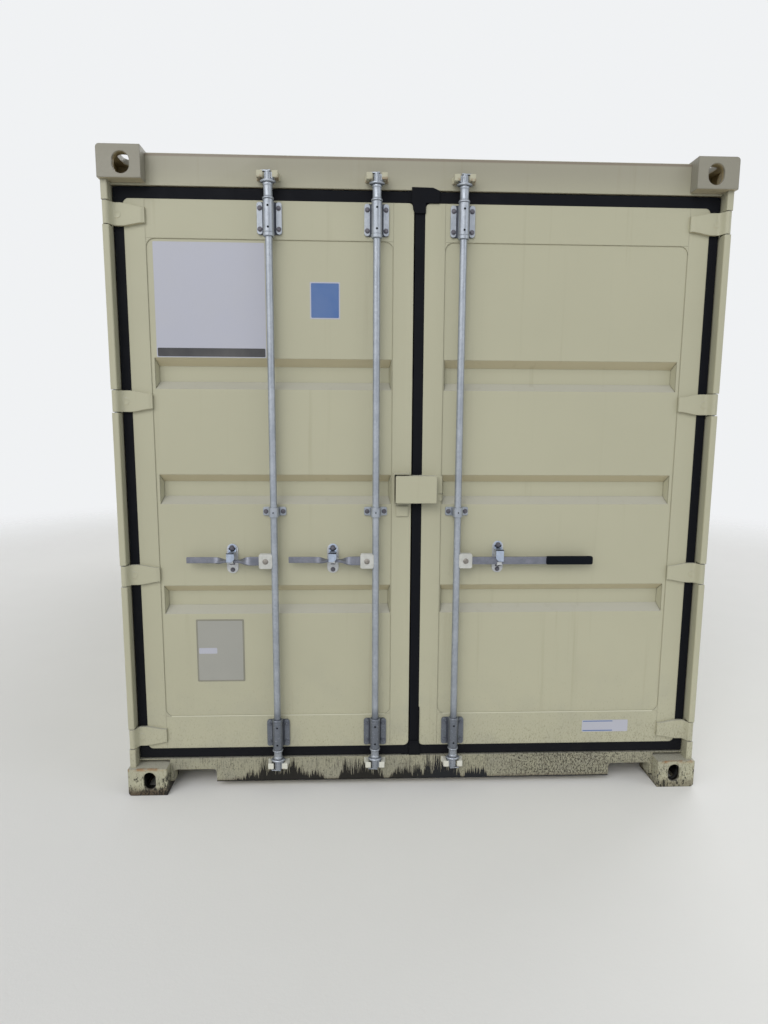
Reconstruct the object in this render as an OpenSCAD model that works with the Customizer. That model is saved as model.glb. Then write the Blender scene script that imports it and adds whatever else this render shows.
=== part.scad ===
// Twenty-foot steel shipping container with double doors, hinges and lock gear.
// Origin: middle of the footprint at the underside of the bottom castings.
// +Z is up, the doors face -Y, depths are counted from the outer face of the castings.

/* [Overall] */
// Length over the corner castings
length = 6058; // [5200:1:7000]
// Width over the corner castings
width = 2438; // [2400:1:2600]
// Height over the corner castings
height = 2591; // [2400:1:2896]

/* [Corner castings] */
// Length of a casting along the container
cast_l = 178; // [170:1:190]
// Width of a casting across the container
cast_w = 162; // [158:1:175]
// Height of a casting
cast_h = 118; // [112:1:125]
// Wall of the three outer faces
cast_wall = 24; // [18:0.5:28]
// Wall of the hidden inner faces
cast_back = 10; // [6:0.5:12]
// Rounding of the outer long edge
cast_round = 14; // [6:1:20]
// Height of a hole centre from the casting's outer face
hole_up = 64; // [62:0.5:66]
// Height of the lashing holes
hole_h = 79; // [74:0.5:80]
// Width of the wide lashing holes
hole_wide = 63.5; // [55:0.5:66]
// Width of the narrow lashing holes
hole_slim = 51; // [40:0.5:54]
// Length of the twistlock holes
twist_l = 124.5; // [110:0.5:126]
// Width of the twistlock holes
twist_w = 63.5; // [55:0.5:66]
// Twistlock hole centre from the casting's end face
twist_end = 102.5; // [95:0.5:104]
// Twistlock hole centre from the casting's side face
twist_side = 89.5; // [78:0.5:94]

/* [Bottom frame] */
// Underside of the side rails above the ground
rail_clear = 8; // [4:0.5:20]
// Underside of the cross members above the ground
cross_clear = 12.5; // [12.5:0.5:30]
// Inset of the side rail from the casting's side face
rail_inset = 4; // [3:0.5:8]
// Sheet of the side rail
rail_t = 4.5; // [3:0.5:5]
// Top flange of the side rail
rail_top = 48; // [40:1:60]
// Bottom flange of the side rail
rail_foot = 30; // [20:1:40]
// Height of a cross member
cross_h = 122; // [116:1:135]
// Flange of a cross member
cross_flange = 45; // [30:1:60]
// Sheet of a cross member
cross_t = 4; // [3:0.5:6]
// Places for cross members along the floor
cross_count = 19; // [11:2:23]
// Last cross member from the castings
cross_end = 80; // [60:1:200]
// Thickness of the floor boards
floor_t = 28; // [20:1:36]
// Clear width of a forklift pocket
pocket_w = 360; // [300:5:380]
// Distance between the pocket centres
pocket_apart = 2050; // [1800:10:2200]
// Sheet of a forklift pocket
pocket_t = 3.5; // [2.5:0.5:5]

/* [Walls and roof] */
// Inset of the side walls and posts from the casting's side face
wall_inset = 5; // [4:0.5:14]
// Depth of the side wall corrugation
wall_deep = 36; // [20:1:40]
// Pitch of the side wall corrugation
wall_pitch = 278; // [220:2:320]
// Flat crest of the side wall
wall_crest = 72; // [50:1:90]
// Width of a slope of the side wall
wall_slope = 68; // [40:1:72]
// Sheet of the walls
wall_t = 2; // [1.6:0.1:3]
// Inset of the front wall from the casting's end face
front_inset = 15; // [8:1:25]
// Width of the front posts on the closed end
front_lip = 110; // [80:1:150]
// Depth of the front wall corrugation
front_deep = 45.6; // [30:0.2:48]
// Pitch of the front wall corrugation
front_pitch = 250; // [220:2:300]
// Flat crest of the front wall
front_crest = 110; // [80:1:120]
// Width of a slope of the front wall
front_slope = 18; // [10:1:30]
// Side of the square top rail
top_rail = 60; // [50:1:70]
// Sheet of the top rail
top_rail_t = 3; // [2.5:0.5:5]
// Top of rails and headers below the castings' top
top_inset = 12; // [8:0.5:20]
// Sheet of the roof
roof_t = 2; // [1.6:0.1:3]
// Depth of the roof troughs
roof_deep = 20; // [10:1:25]
// Pitch of the roof troughs
roof_pitch = 209; // [180:1:260]
// Flat crest of the roof
roof_crest = 91; // [60:1:100]
// Width of a slope of the roof
roof_slope = 13.5; // [8:0.5:30]

// Width of a vent cover
vent_w = 60; // [40:1:70]
// Height of a vent cover
vent_h = 110; // [60:1:160]
// Vent cover's middle below the top rail
vent_drop = 160; // [80:1:300]

/* [Door frame] */
// Sheet of the rear posts
post_t = 5; // [4:0.5:6]
// Visible front flange of a rear post
post_flange = 26; // [25:1:34]
// Depth of the rear post's front flange
post_deep = 15; // [10:1:18]
// Depth of the header and sill faces
header_deep = 54; // [48:1:56]
// Sheet of the header and sill
header_t = 5; // [4:0.5:7]
// Height of the header face
header_h = 114; // [95:1:125]
// Height of the sill face
sill_h = 108; // [80:1:115]
// Sill face's top edge above the ground
sill_top = 136; // [130:1:140]
// Depth of the inner channel that the doors close against
channel_w = 40; // [36:1:60]
// Wall of that inner channel
channel_t = 10; // [6:1:12]
// Door stop that stands below the header's face
header_stop = 28; // [20:1:40]
// Width of a cut-out in the sill
cutout_w = 184; // [150:2:220]
// Height of a cut-out's top above the ground
cutout_top = 85; // [70:1:110]
// Inner side of the bottom casting to the cut-out
cutout_gap = 14; // [10:1:60]

/* [Doors] */
// Depth of the doors' front face
leaf_deep = 58; // [56:1:62]
// Thickness of a door leaf
leaf_t = 50; // [44:1:52]
// Gap between the two door leaves
leaf_gap = 44; // [36:1:52]
// Middle of that gap to the left of the centre line
seal_off = 8; // [0:1:15]
// Gap between a leaf and the post's flange
leaf_side = 42; // [30:1:48]
// Gap between the leaves and the header's edge
leaf_over = 47; // [40:1:60]
// Gap between the leaves and the sill's edge
leaf_under = 46; // [40:1:60]
// Rounding of the leaf corners
leaf_round = 22; // [10:1:35]
// Width of a door stile
stile_w = 80; // [60:1:100]
// Wall of the hollow stiles
stile_t = 4; // [3:0.5:6]
// Height of the top and bottom door rails
rail_h = 144; // [120:1:160]
// Sheet of the door rails
door_rail_t = 4; // [3:0.5:6]
// Sheet of the door panel
panel_t = 2.5; // [2:0.1:3]
// Recess of the panel behind the stiles
panel_in = 3; // [1:0.5:6]
// Depth of a door groove
groove_deep = 36; // [20:1:38]
// Height of a door groove at the face
groove_h = 121; // [100:1:140]
// Height of each slope of a groove
groove_slope = 30; // [15:1:35]
// Distance between grooves
groove_pitch = 463; // [380:1:520]
// Plain margin of a groove on the hinge side
groove_margin = 14; // [5:1:60]
// Clearance of a gasket to the frame
gasket_clear = 5; // [4:0.5:8]
// Thickness of the gasket's front fin
gasket_fin = 7; // [4:0.5:10]
// Depth of the gasket's inner bulb
gasket_bulb = 30; // [15:1:34]

/* [Hinges] */
// Radius of a hinge knuckle
knuckle_r = 12.5; // [11:0.1:13]
// Radius of a hinge pin
pin_r = 6; // [4:0.5:7]
// Radial clearance of pins in knuckles and handles
pin_gap = 0.1; // [0.05:0.05:0.3]
// Height of a hinge blade at the knuckle
blade_h = 84; // [70:1:110]
// Height of a hinge blade at its tip
blade_tip = 58; // [40:1:70]
// Reach of a hinge blade from the pin
blade_reach = 137; // [110:1:150]
// Thickness of a hinge blade
blade_t = 13; // [8:0.5:14]
// Gap above and below a knuckle
knuckle_gap = 3; // [2:0.5:6]
// Outer hinges from the leaf ends
hinge_end = 62; // [58:1:120]

/* [Lock rods] */
// Radius of a lock rod
rod_r = 14; // [11:0.1:14.5]
// Depth of the lock rods
rod_deep = 23; // [22:0.5:24]
// Distance of the inner rods from the middle of the gap
rod_inner = 168; // [140:1:200]
// Distance of the outer rod from the middle
rod_outer = 590; // [500:1:650]
// Running clearance of a rod in its brackets
rod_gap = 0.4; // [0.2:0.1:0.8]
// Outer radius of the bracket sleeves
sleeve_r = 20; // [17:0.5:22]
// Width of the bracket plates
bracket_w = 96; // [80:1:110]
// Height of the end bracket plates
bracket_h = 120; // [90:1:140]
// Thickness of the bracket plates
bracket_t = 5; // [3:0.5:8]
// Height of the middle guides
guide_h = 36; // [24:1:60]
// Middle guides below the leaves' mid height
guide_drop = 89; // [60:1:120]
// Radius that the cam lug reaches
cam_r = 25; // [23:0.5:25.5]
// Half angle of the cam lug
cam_half = 25; // [18:1:30]
// Radius of the cam's body
cam_body = 15.5; // [13.6:0.1:16.5]
// Height of the cam lug
cam_h = 34; // [25:1:50]
// Half length of the cam's flange
flange_x = 30; // [26:1:32]
// Half width of the cam's flange
flange_y = 23; // [20:0.5:24]
// Width of a keeper's ear
ear_w = 16; // [12:1:24]
// Top cams and keepers above the header's edge
cam_rise = 17; // [0:1:25]

/* [Handles] */
// Handles below the leaves' mid height
handle_drop = 291; // [250:1:330]
// Handle pivot from the rod's axis
pivot_out = 36; // [32:1:42]
// Handle length from pivot to tip, short handles
handle_short = 321; // [250:1:340]
// Handle length from pivot to tip, long handle
handle_long = 534; // [400:1:560]
// Thickness of a handle bar
bar_t = 10; // [6:1:12]
// Height of a handle bar
bar_h = 32; // [24:1:36]
// Height of a short handle's grip end
tip_h = 25; // [18:1:32]
// Length of the rubber grip
grip_l = 197; // [120:1:240]
// Thickness of the rubber on the grip
grip_t = 3; // [2:0.5:4]
// Retainer from the handle's pivot
retainer_out = 141; // [120:1:150]
// Width of a retainer plate
retainer_w = 46; // [36:1:56]
// Sheet of retainers and catches
retainer_t = 4; // [3:0.5:4.5]
// Room for lifting a handle in its retainer
lift_room = 27; // [24:1:32]

/* [Lock box] */
// Overall width of the lock box
box_w = 167; // [140:1:190]
// Overall height of the lock box
box_h = 111; // [90:1:130]
// Reach of the lock box past the middle of the doors
box_over = 96; // [80:1:110]
// Sheet of the lock box
box_t = 4; // [2:0.5:6]
// Gap between the lock box and its shroud
box_gap = 5; // [5:0.5:8]

/* [Hidden] */
$fn = 48;

paint = [0.72, 0.71, 0.58];
zinc = [0.66, 0.69, 0.73];
rubber = [0.09, 0.09, 0.10];

// Half sizes of the outline
hl = length / 2;
hw = width / 2;
in_l = hl - cast_l;
in_w = hw - cast_w;
post_x = hw - wall_inset;
rail_x = hw - rail_inset;
roof_z = height - top_inset;
floor_z = cross_clear + cross_h + floor_t;
rail_z = floor_z + rail_clear;

// Door end: levels of the frame and of the leaves
header_z = roof_z - header_h;
return_x = post_x - post_flange;
clear_x = post_x - channel_w;
lip_x = post_x - front_lip;
stop_deep = leaf_deep + leaf_t + 4;
leaf_x = return_x - leaf_side;
leaf_z0 = sill_top + leaf_under;
leaf_z1 = header_z - leaf_over;
leaf_mid = (leaf_z0 + leaf_z1) / 2;
panel_x1 = leaf_x - stile_w;
panel_z0 = leaf_z0 + rail_h;
panel_z1 = leaf_z1 - rail_h;
gasket_deep = leaf_deep + 0.5;

// Hinge axis and the levels of the four hinges on each side
hinge_x = (post_x - post_t + return_x + post_t) / 2;
hinge_deep = post_deep + knuckle_r;
hinge_z = [for (i = [0:3]) leaf_z0 + hinge_end + i * (leaf_z1 - leaf_z0 - 2 * hinge_end) / 3];
notch_h = blade_h / 2 + knuckle_gap;
notch_deep = leaf_deep + 4;
lug_h = 12;

// Lock gear: [frame edge, direction past it, rise of the cam head] at the sill and the header
rods = [[-rod_outer, 1], [-rod_inner - seal_off, 1], [rod_inner - seal_off, -1]];
rod_ends = [[sill_top, -1, 0], [header_z, 1, cam_rise]];
cam_start = 45;
cam_ring = 8;
flange_top = 2;
flange_t = 8;
rod_end = cam_start + cam_ring;
sleeve_end = rod_end + 1;
sleeve_l = bracket_h + 14;
face_y = leaf_deep - rod_deep;
frame_y = header_deep - rod_deep;
mouth = cam_body + 2;
lip_y = cam_r * sin(cam_half) + 1.4;
ear_front = rod_deep - 3;
ear_x = cam_r + 1;

// Handles: heights, pivot bolts and the retainers on the panels
handle_z = leaf_mid - handle_drop;
hub_h = 68;
hub_t = 26;
hub_out = 63;
waist_h = 11;
waist_t = 16;
waist_l = 26;
retainer_x = pivot_out + retainer_out;
panel_y = leaf_deep + panel_in - rod_deep;
plate_low = 59;
cradle_lip = 12;
cradle_w = 20;
catch_w = 26;
catch_drop = 40;
bolt_r = 8;

function back(d) = -hl + d;

// Inner edge of a leaf and of its panel: side 1 is the right door, -1 the left one, drawn mirrored
function leaf_in(side) = leaf_gap / 2 - side * seal_off;
function panel_x0(side) = leaf_in(side) + stile_w;

function flipped(list) = [for (i = [len(list) - 1:-1:0]) list[i]];

// Outline of a pressed sheet: [place, 0 on a crest or 1 in a trough]
function pressed(run, pitch, crest, slope) =
    let (n = floor((run - 40) / pitch))
    concat([[-run / 2, 0]],
        [for (i = [0:n - 1]) for (p = [[crest / 2, 0], [crest / 2 + slope, 1],
            [pitch - crest / 2 - slope, 1], [pitch - crest / 2, 0]])
            [(i - n / 2) * pitch + p[0], p[1]]],
        [[run / 2, 0]]);

module along_x(l) rotate([90, 0, 90]) linear_extrude(l) children();
module along_y(l) translate([0, l, 0]) rotate([90, 0, 0]) linear_extrude(l) children();
module both_sides() { children(); mirror([1, 0, 0]) children(); }
module both_ends() { children(); mirror([0, 1, 0]) children(); }
module box(x, y, z) translate([x[0], y[0], z[0]]) cube([x[1] - x[0], y[1] - y[0], z[1] - z[0]]);

// What rounding takes off a square corner at the origin
module nick(r) difference() {
    translate([-1, -1]) square(r + 1);
    translate([r, r]) circle(r);
}

// Rectangle between two corners with rounded corners
module plate(lo, hi, r) difference() {
    translate(lo) square(hi - lo);
    translate(lo) nick(r);
    translate(hi) rotate(180) nick(r);
    translate([lo[0], hi[1]]) rotate(-90) nick(r);
    translate([hi[0], lo[1]]) rotate(90) nick(r);
}

// Slot with round ends, standing along the second axis
module slot(w, h) {
    square([w, h - w], center = true);
    for (s = [-1, 1]) translate([0, s * (h - w) / 2]) circle(w / 2);
}

// Sheet in the XY plane with its face at z = 0 and troughs along X that close at both ends
module trough_sheet(x, trough, slope, run, deep, t) {
    first = run[0][0];
    last = run[len(run) - 1][0];
    difference() {
        intersection() {
            translate([x[0], 0, 0]) along_x(x[1] - x[0]) polygon(concat([[first, 0], [last, 0]],
                flipped([for (p = run) [p[0], -t - p[1] * deep]])));
            translate([0, first, 0]) along_y(last - first) polygon([[x[0], 0], [x[0], -t],
                [trough[0], -t], [trough[0] + slope, -t - deep], [trough[1] - slope, -t - deep],
                [trough[1], -t], [x[1], -t], [x[1], 0]]);
        }
        intersection() {
            translate([x[0], 0, 0]) along_x(x[1] - x[0]) polygon(concat([[first, 1], [last, 1]],
                flipped([for (p = run) [p[0], -p[1] * deep]])));
            translate([0, first, 0]) along_y(last - first) polygon([[trough[0], 1], [trough[0], 0],
                [trough[0] + slope, -deep], [trough[1] - slope, -deep], [trough[1], 0], [trough[1], 1]]);
        }
    }
}

// One casting, its outer corner at the origin
module casting(end_hole) difference() {
    along_y(cast_l) difference() {
        square([cast_w, cast_h]);
        nick(cast_round);
    }
    box([cast_wall, cast_w - cast_back], [cast_wall, cast_l - cast_back],
        [cast_wall, cast_h - cast_back]);
    translate([twist_side, -1, hole_up]) along_y(cast_wall + 2) slot(end_hole, hole_h);
    translate([-1, cast_l / 2, hole_up]) along_x(cast_wall + 2) slot(hole_wide, hole_h);
    translate([twist_side, twist_end, -1]) linear_extrude(cast_wall + 2) slot(twist_w, twist_l);
}

module bottom_castings() color(paint) both_sides() both_ends()
    translate([-hw, -hl, 0]) casting(hole_slim);

module top_castings() color(paint) both_sides() both_ends()
    translate([-hw, -hl, height]) mirror([0, 0, 1]) casting(hole_wide);

// Rear post: pressed outer section, return behind the flange and an inner channel as door stop
module rear_post() difference() {
    translate([0, -hl, cast_h]) linear_extrude(height - 2 * cast_h) {
        difference() {
            translate([return_x, post_deep]) square([post_flange, cast_l - post_deep]);
            translate([return_x + post_t, post_deep + post_t])
                square([post_flange - 2 * post_t, cast_l - post_deep]);
            translate([return_x - 1, stop_deep]) square([post_t + 1, cast_l]);
            translate([post_x, post_deep]) rotate(90) nick(post_t);
            translate([return_x, post_deep]) nick(post_t);
        }
        difference() {
            translate([clear_x, stop_deep])
                square([channel_w - post_t, cast_l - stop_deep]);
            translate([clear_x + channel_t, stop_deep + channel_t])
                square([channel_w - post_t - channel_t, cast_l - stop_deep - 2 * channel_t]);
        }
    }
    for (z = hinge_z)
        box([return_x - 1, post_x + 1], [back(post_deep - 1), back(notch_deep)],
            [z - notch_h, z + notch_h]);
}

module rear_posts() color(paint) both_sides() rear_post();

// Front post: side leg, end leg and a folded lip on each
module front_post() {
    t = post_t + 1;
    lip_y = hl - front_inset - front_deep;
    translate([0, 0, cast_h]) linear_extrude(height - 2 * cast_h) {
        translate([post_x - t, in_l]) square([t, hl - front_inset - in_l]);
        translate([lip_x, hl - front_inset - t]) square([post_x - lip_x, t]);
        translate([lip_x, lip_y]) square([t, hl - front_inset - lip_y]);
        translate([post_x - wall_deep, in_l]) square([wall_deep, t]);
    }
}

module front_posts() color(paint) both_sides() front_post();

// Door header: hollow beam, a ledge that runs on under the castings, and the door stop below it
module door_header() color(paint) {
    t = header_t;
    y0 = back(header_deep);
    y1 = back(cast_l - 8);
    ys = back(stop_deep);
    ledge = max(header_z + t, height - cast_h);
    difference() {
        union() {
            box([-in_w, in_w], [y0, y1], [header_z, roof_z]);
            box([0.5 - return_x, return_x - 0.5], [y0, ys], [header_z, ledge]);
            box([-clear_x, clear_x], [ys, y1], [header_z - header_stop, ledge]);
        }
        box([-in_w - 1, in_w + 1], [y0 + t, y1 - t], [header_z + t, roof_z - t]);
        box([-clear_x - 1, clear_x + 1], [ys + t, y1 - t],
            [header_z - header_stop + t, header_z + t + 1]);
    }
}

// Door sill: face plate, ledge under the doors, stop and tread, with a cut-out beside each casting
module door_sill() color(paint) {
    t = header_t;
    y0 = back(header_deep);
    ys = back(stop_deep);
    y1 = back(cast_l + 22);
    low = sill_top - sill_h;
    cut_x = in_w - cutout_gap;
    difference() {
        union() {
            box([-in_w, in_w], [y0, y0 + t], [low, sill_top]);
            box([-in_w, in_w], [y0, ys], [low, low + t]);
            box([-return_x + 0.5, return_x - 0.5], [y0, ys], [sill_top - t, sill_top]);
            box([-clear_x, clear_x], [ys - t, ys], [sill_top - t, floor_z]);
            box([-clear_x, clear_x], [ys - t, y1], [floor_z - t, floor_z]);
            both_sides() for (x = [cut_x, cut_x - cutout_w - t])
                box([x, x + t], [y0, ys], [low, sill_top]);
        }
        both_sides() translate([cut_x - cutout_w, y0 - 1, 0]) along_y(cast_l) difference() {
            translate([0, low - 1]) square([cutout_w, cutout_top - low + 1]);
            translate([0, cutout_top]) rotate(-90) nick(15);
            translate([cutout_w, cutout_top]) rotate(180) nick(15);
        }
    }
}

module front_beam(z) difference() {
    box([-in_w, in_w], [hl - front_inset - top_rail, hl - front_inset], z);
    box([-in_w - 1, in_w + 1], [hl - front_inset - top_rail + header_t, hl - front_inset - header_t],
        [z[0] + header_t, z[1] - header_t]);
}

module front_header() color(paint) front_beam([roof_z - top_rail, roof_z]);
module front_sill() color(paint) front_beam([cross_clear, floor_z]);

module top_side_rails() color(paint) both_sides() difference() {
    box([post_x - top_rail, post_x], [-in_l, in_l], [roof_z - top_rail, roof_z]);
    box([post_x - top_rail + top_rail_t, post_x - top_rail_t], [-in_l - 1, in_l + 1],
        [roof_z - top_rail + top_rail_t, roof_z - top_rail_t]);
}

// Bottom side rail: channel that opens inwards, with two forklift openings
module bottom_side_rails() color(paint) both_sides() difference() {
    translate([0, -in_l, 0]) along_y(2 * in_l) {
        translate([rail_x - rail_t, rail_clear]) square([rail_t, rail_z - rail_clear]);
        translate([rail_x - rail_top, rail_z - rail_t]) square([rail_top, rail_t]);
        translate([rail_x - rail_foot, rail_clear]) square([rail_foot, rail_t]);
    }
    for (s = [-1, 1]) translate([rail_x - 2 * rail_t, s * pocket_apart / 2, cross_clear + cross_h / 2])
        along_x(3 * rail_t) square([pocket_w, cross_h - 2 * pocket_t], center = true);
}

cross_free = pocket_w / 2 + pocket_t + cross_flange + 20;
cross_run = in_l - cross_end;

module cross_members() color(paint)
    for (i = [0:cross_count - 1]) {
        y = -cross_run + i * 2 * cross_run / (cross_count - 1);
        if (abs(abs(y) - pocket_apart / 2) > cross_free)
            translate([rail_t - rail_x, y - cross_flange / 2, cross_clear])
                along_x(2 * (rail_x - rail_t)) difference() {
                    square([cross_flange, cross_h]);
                    translate([cross_t, cross_t]) square([cross_flange, cross_h - 2 * cross_t]);
                }
    }

module forklift_pockets() color(paint) for (s = [-1, 1])
    translate([rail_t - rail_x, s * pocket_apart / 2, cross_clear + cross_h / 2])
        along_x(2 * (rail_x - rail_t)) difference() {
            square([pocket_w + 2 * pocket_t, cross_h], center = true);
            square([pocket_w, cross_h - 2 * pocket_t], center = true);
        }

module floor_boards() color([0.45, 0.33, 0.22])
    box([rail_top - rail_x + 2, rail_x - rail_top - 2],
        [back(cast_l + 24), hl - front_inset - top_rail - 2], [floor_z - floor_t, floor_z]);

module side_walls() color(paint) both_sides()
    translate([0, 0, rail_z]) linear_extrude(roof_z - top_rail - rail_z) {
        run = pressed(2 * in_l, wall_pitch, wall_crest, wall_slope);
        polygon(concat([for (p = run) [post_x - p[1] * (wall_deep - wall_t), p[0]]],
            flipped([for (p = run) [post_x - wall_t - p[1] * (wall_deep - wall_t), p[0]]])));
    }

// Front wall between the posts' lips, cut out round the top castings
module front_wall() color(paint) difference() {
    translate([0, 0, floor_z]) linear_extrude(roof_z - top_rail - floor_z) {
        y = hl - front_inset;
        run = pressed(2 * lip_x, front_pitch, front_crest, front_slope);
        polygon(concat([for (p = run) [p[0], y - p[1] * (front_deep - wall_t)]],
            flipped([for (p = run) [p[0], y - wall_t - p[1] * (front_deep - wall_t)]])));
    }
    both_sides() box([in_w, post_x], [in_l, hl], [height - cast_h, height]);
}

// Roof: one sheet with closed troughs, and a plain plate over each end beam
module roof_panel() color(paint) translate([0, 0, roof_z + roof_t]) {
    side = post_x - 3;
    trough = post_x - top_rail - 8;
    trough_sheet([-side, side], [-trough, trough], roof_slope,
        pressed(2 * in_l - 4, roof_pitch, roof_crest, roof_slope), roof_deep, roof_t);
}

// Plates between the castings, from the headers to the pressed roof
module roof_end_plates() color(paint) both_ends()
    box([3 - in_w, in_w - 3], [-hl + header_deep, 2 - in_l], [roof_z, roof_z + roof_t]);

// Louvred vent covers on a crest near the top of each side wall
module side_vents() color(paint) both_sides() for (s = [-1, 1]) {
    n = floor((2 * in_l - 40) / wall_pitch);
    translate([post_x, s * (n / 2 - 1) * wall_pitch, roof_z - top_rail - vent_drop]) difference() {
        along_x(rail_inset) plate([-vent_w / 2, -vent_h / 2], [vent_w / 2, vent_h / 2], 8);
        for (k = [-1:1]) translate([rail_inset / 2, 0, k * vent_h / 4]) along_x(rail_inset)
            square([vent_w - 16, vent_h / 10], center = true);
    }
}

// One keeper ear beside a cam: foot on the frame, arm and hooked lip; z = 0 is the frame's edge
module keeper_ear() intersection() {
    translate([0, 0, 1]) linear_extrude(cam_h) difference() {
        polygon([[mouth, -ear_front], [ear_x + ear_w, -ear_front], [ear_x + ear_w, frame_y - 10],
            [ear_x + ear_w + 8, frame_y], [ear_x, frame_y], [ear_x, -lip_y], [mouth, -lip_y]]);
        translate([ear_x + ear_w, -ear_front]) rotate(90) nick(8);
        translate([mouth, -ear_front]) nick(3);
    }
    translate([0, -ear_front - 1, 0]) along_y(ear_front + frame_y + 2)
        plate([mouth - 20, 1], [ear_x + ear_w + 8, 1 + cam_h], 9);
}

module at_edge(rod, e) translate([rod[0], back(rod_deep), e[0]]) scale([rod[1], 1, e[1]]) children();

module cam_keepers() color(paint) for (rod = rods) for (e = rod_ends) at_edge(rod, e)
    translate([0, 0, e[2]]) both_sides() keeper_ear();

// Pins with the lugs that hold them inside the posts
module hinge_pins() color(paint) both_sides() for (z = hinge_z)
    translate([hinge_x, back(hinge_deep), z]) {
        cylinder(r = pin_r, h = 2 * (notch_h + lug_h), center = true);
        for (s = [-1, 1]) translate([0, 0, s * (notch_h + lug_h / 2)]) difference() {
            translate([post_t - post_flange / 2, post_t - knuckle_r, -lug_h / 2])
                cube([post_flange - 2 * post_t, 22, lug_h]);
        }
    }

// Door pieces are written for the right door, which spans +X from the middle
module leaf_outline(side) plate([leaf_in(side), leaf_z0], [leaf_x, leaf_z1], leaf_round);

// Hollow stiles with closed ends and a drain hole at the foot
module door_stiles(side) color(paint) difference() {
    x0 = panel_x0(side);
    translate([0, back(leaf_deep), 0]) along_y(leaf_t) difference() {
        leaf_outline(side);
        translate([x0, leaf_z0 - 1]) square([panel_x1 - x0, leaf_z1 - leaf_z0 + 2]);
    }
    translate([0, back(leaf_deep) + stile_t, 0]) along_y(leaf_t - 2 * stile_t)
        for (x = [x0 - stile_w, panel_x1])
            plate([x + stile_t, leaf_z0 + stile_t], [x + stile_w - stile_t, leaf_z1 - stile_t],
                leaf_round - stile_t);
    for (x = [x0 - stile_w, panel_x1]) translate([x + stile_w / 2,
        back(leaf_deep + leaf_t / 2), leaf_z0 - 1]) cylinder(r = 6, h = stile_t + 2);
}

module door_rails(side) color(paint)
    for (z = [[leaf_z0, panel_z0], [panel_z1, leaf_z1]]) difference() {
        box([panel_x0(side), panel_x1], [back(leaf_deep), back(leaf_deep + leaf_t)], z);
        box([panel_x0(side) + door_rail_t, panel_x1 - door_rail_t],
            [back(leaf_deep) + door_rail_t, back(leaf_deep + leaf_t) + 1],
            [z[0] + door_rail_t, z[1] - door_rail_t]);
    }

groove_run = concat([[panel_z0, 0]],
    [for (k = [-1:1]) for (p = [[-groove_h / 2, 0], [groove_slope - groove_h / 2, 1],
        [groove_h / 2 - groove_slope, 1], [groove_h / 2, 0]])
        [leaf_mid + k * groove_pitch + p[0], p[1]]],
    [[panel_z1, 0]]);

module door_panel(side) color(paint) translate([0, back(leaf_deep + panel_in), 0]) rotate([90, 0, 0])
    trough_sheet([panel_x0(side), panel_x1], [panel_x0(side) + 4, panel_x1 - groove_margin], 8,
        groove_run, groove_deep, panel_t);

// Gasket ring: wide front fin and a narrower bulb behind it
module gasket_ring(side, lock) translate([0, back(gasket_deep), 0]) {
    fin = [leaf_side - gasket_clear, leaf_over - gasket_clear, leaf_under - gasket_clear];
    for (layer = [[0, gasket_fin, 1], [gasket_fin, gasket_bulb, 0.6]])
        translate([0, layer[0], 0]) along_y(layer[1]) difference() {
            plate([leaf_in(side) - lock * layer[2], leaf_z0 - fin[2] * layer[2]],
                [leaf_x + fin[0] * layer[2], leaf_z1 + fin[1] * layer[2]], 8);
            leaf_outline(side);
            if (lock == 0) translate([leaf_in(side) - 1, 0]) square([leaf_round + 1, height]);
        }
}

// Hinge blades: knuckle on the pin, plate over the gasket and a tapered end on the leaf
module door_hinges() color(paint) for (z = hinge_z) translate([hinge_x, back(hinge_deep), z]) {
    rest = leaf_deep - hinge_deep;
    difference() {
        union() {
            cylinder(r = knuckle_r, h = blade_h, center = true);
            translate([0, 0, -blade_h / 2]) linear_extrude(blade_h)
                polygon([[-knuckle_r + 1, -4], [knuckle_r - 4, 8], [-2, rest], [-24, rest],
                    [-24, rest - blade_t], [-18, rest - blade_t - 3]]);
            intersection() {
                translate([0, 0, -blade_h / 2]) linear_extrude(blade_h)
                    polygon([[-20, rest], [-blade_reach, rest], [-blade_reach, rest - blade_t + 5],
                        [-blade_reach + 4, rest - blade_t + 1], [-20, rest - blade_t]]);
                translate([-blade_reach - 1, -1, 0]) along_y(rest + 2)
                    polygon([[blade_reach, -blade_h / 2], [blade_reach, blade_h / 2],
                        [blade_reach - 56, blade_h / 2 - 3], [13, blade_tip / 2 + 4],
                        [1, blade_tip / 2 - 9], [1, 9 - blade_tip / 2], [13, -blade_tip / 2 - 4],
                        [blade_reach - 56, 3 - blade_h / 2]]);
            }
        }
        cylinder(r = pin_r + pin_gap, h = blade_h + 2, center = true);
    }
}

// Bracket at a rod end: bolted plate and a longer sleeve round the rod; z = 0 is the frame's edge
module end_bracket() translate([0, 0, -sleeve_end]) difference() {
    union() {
        translate([0, face_y - bracket_t, 0]) along_y(bracket_t)
            plate([-bracket_w / 2, -bracket_h], [bracket_w / 2, 0], 9);
        both_sides() translate([0, face_y - bracket_t - 4, 0]) along_y(4.5)
            plate([sleeve_r + 5, 5 - bracket_h], [bracket_w / 2 - 4, -5], 8);
        translate([0, 0, -sleeve_l]) linear_extrude(sleeve_l) {
            circle(sleeve_r);
            translate([-sleeve_r, 0]) square([2 * sleeve_r, face_y]);
        }
    }
    translate([0, 0, -sleeve_l - 1]) cylinder(r = rod_r + rod_gap, h = sleeve_l + 2);
    for (z = [25, bracket_h - 17.5]) translate([0, -sleeve_r - 1, -z]) along_y(sleeve_r) circle(4.2);
}

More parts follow.
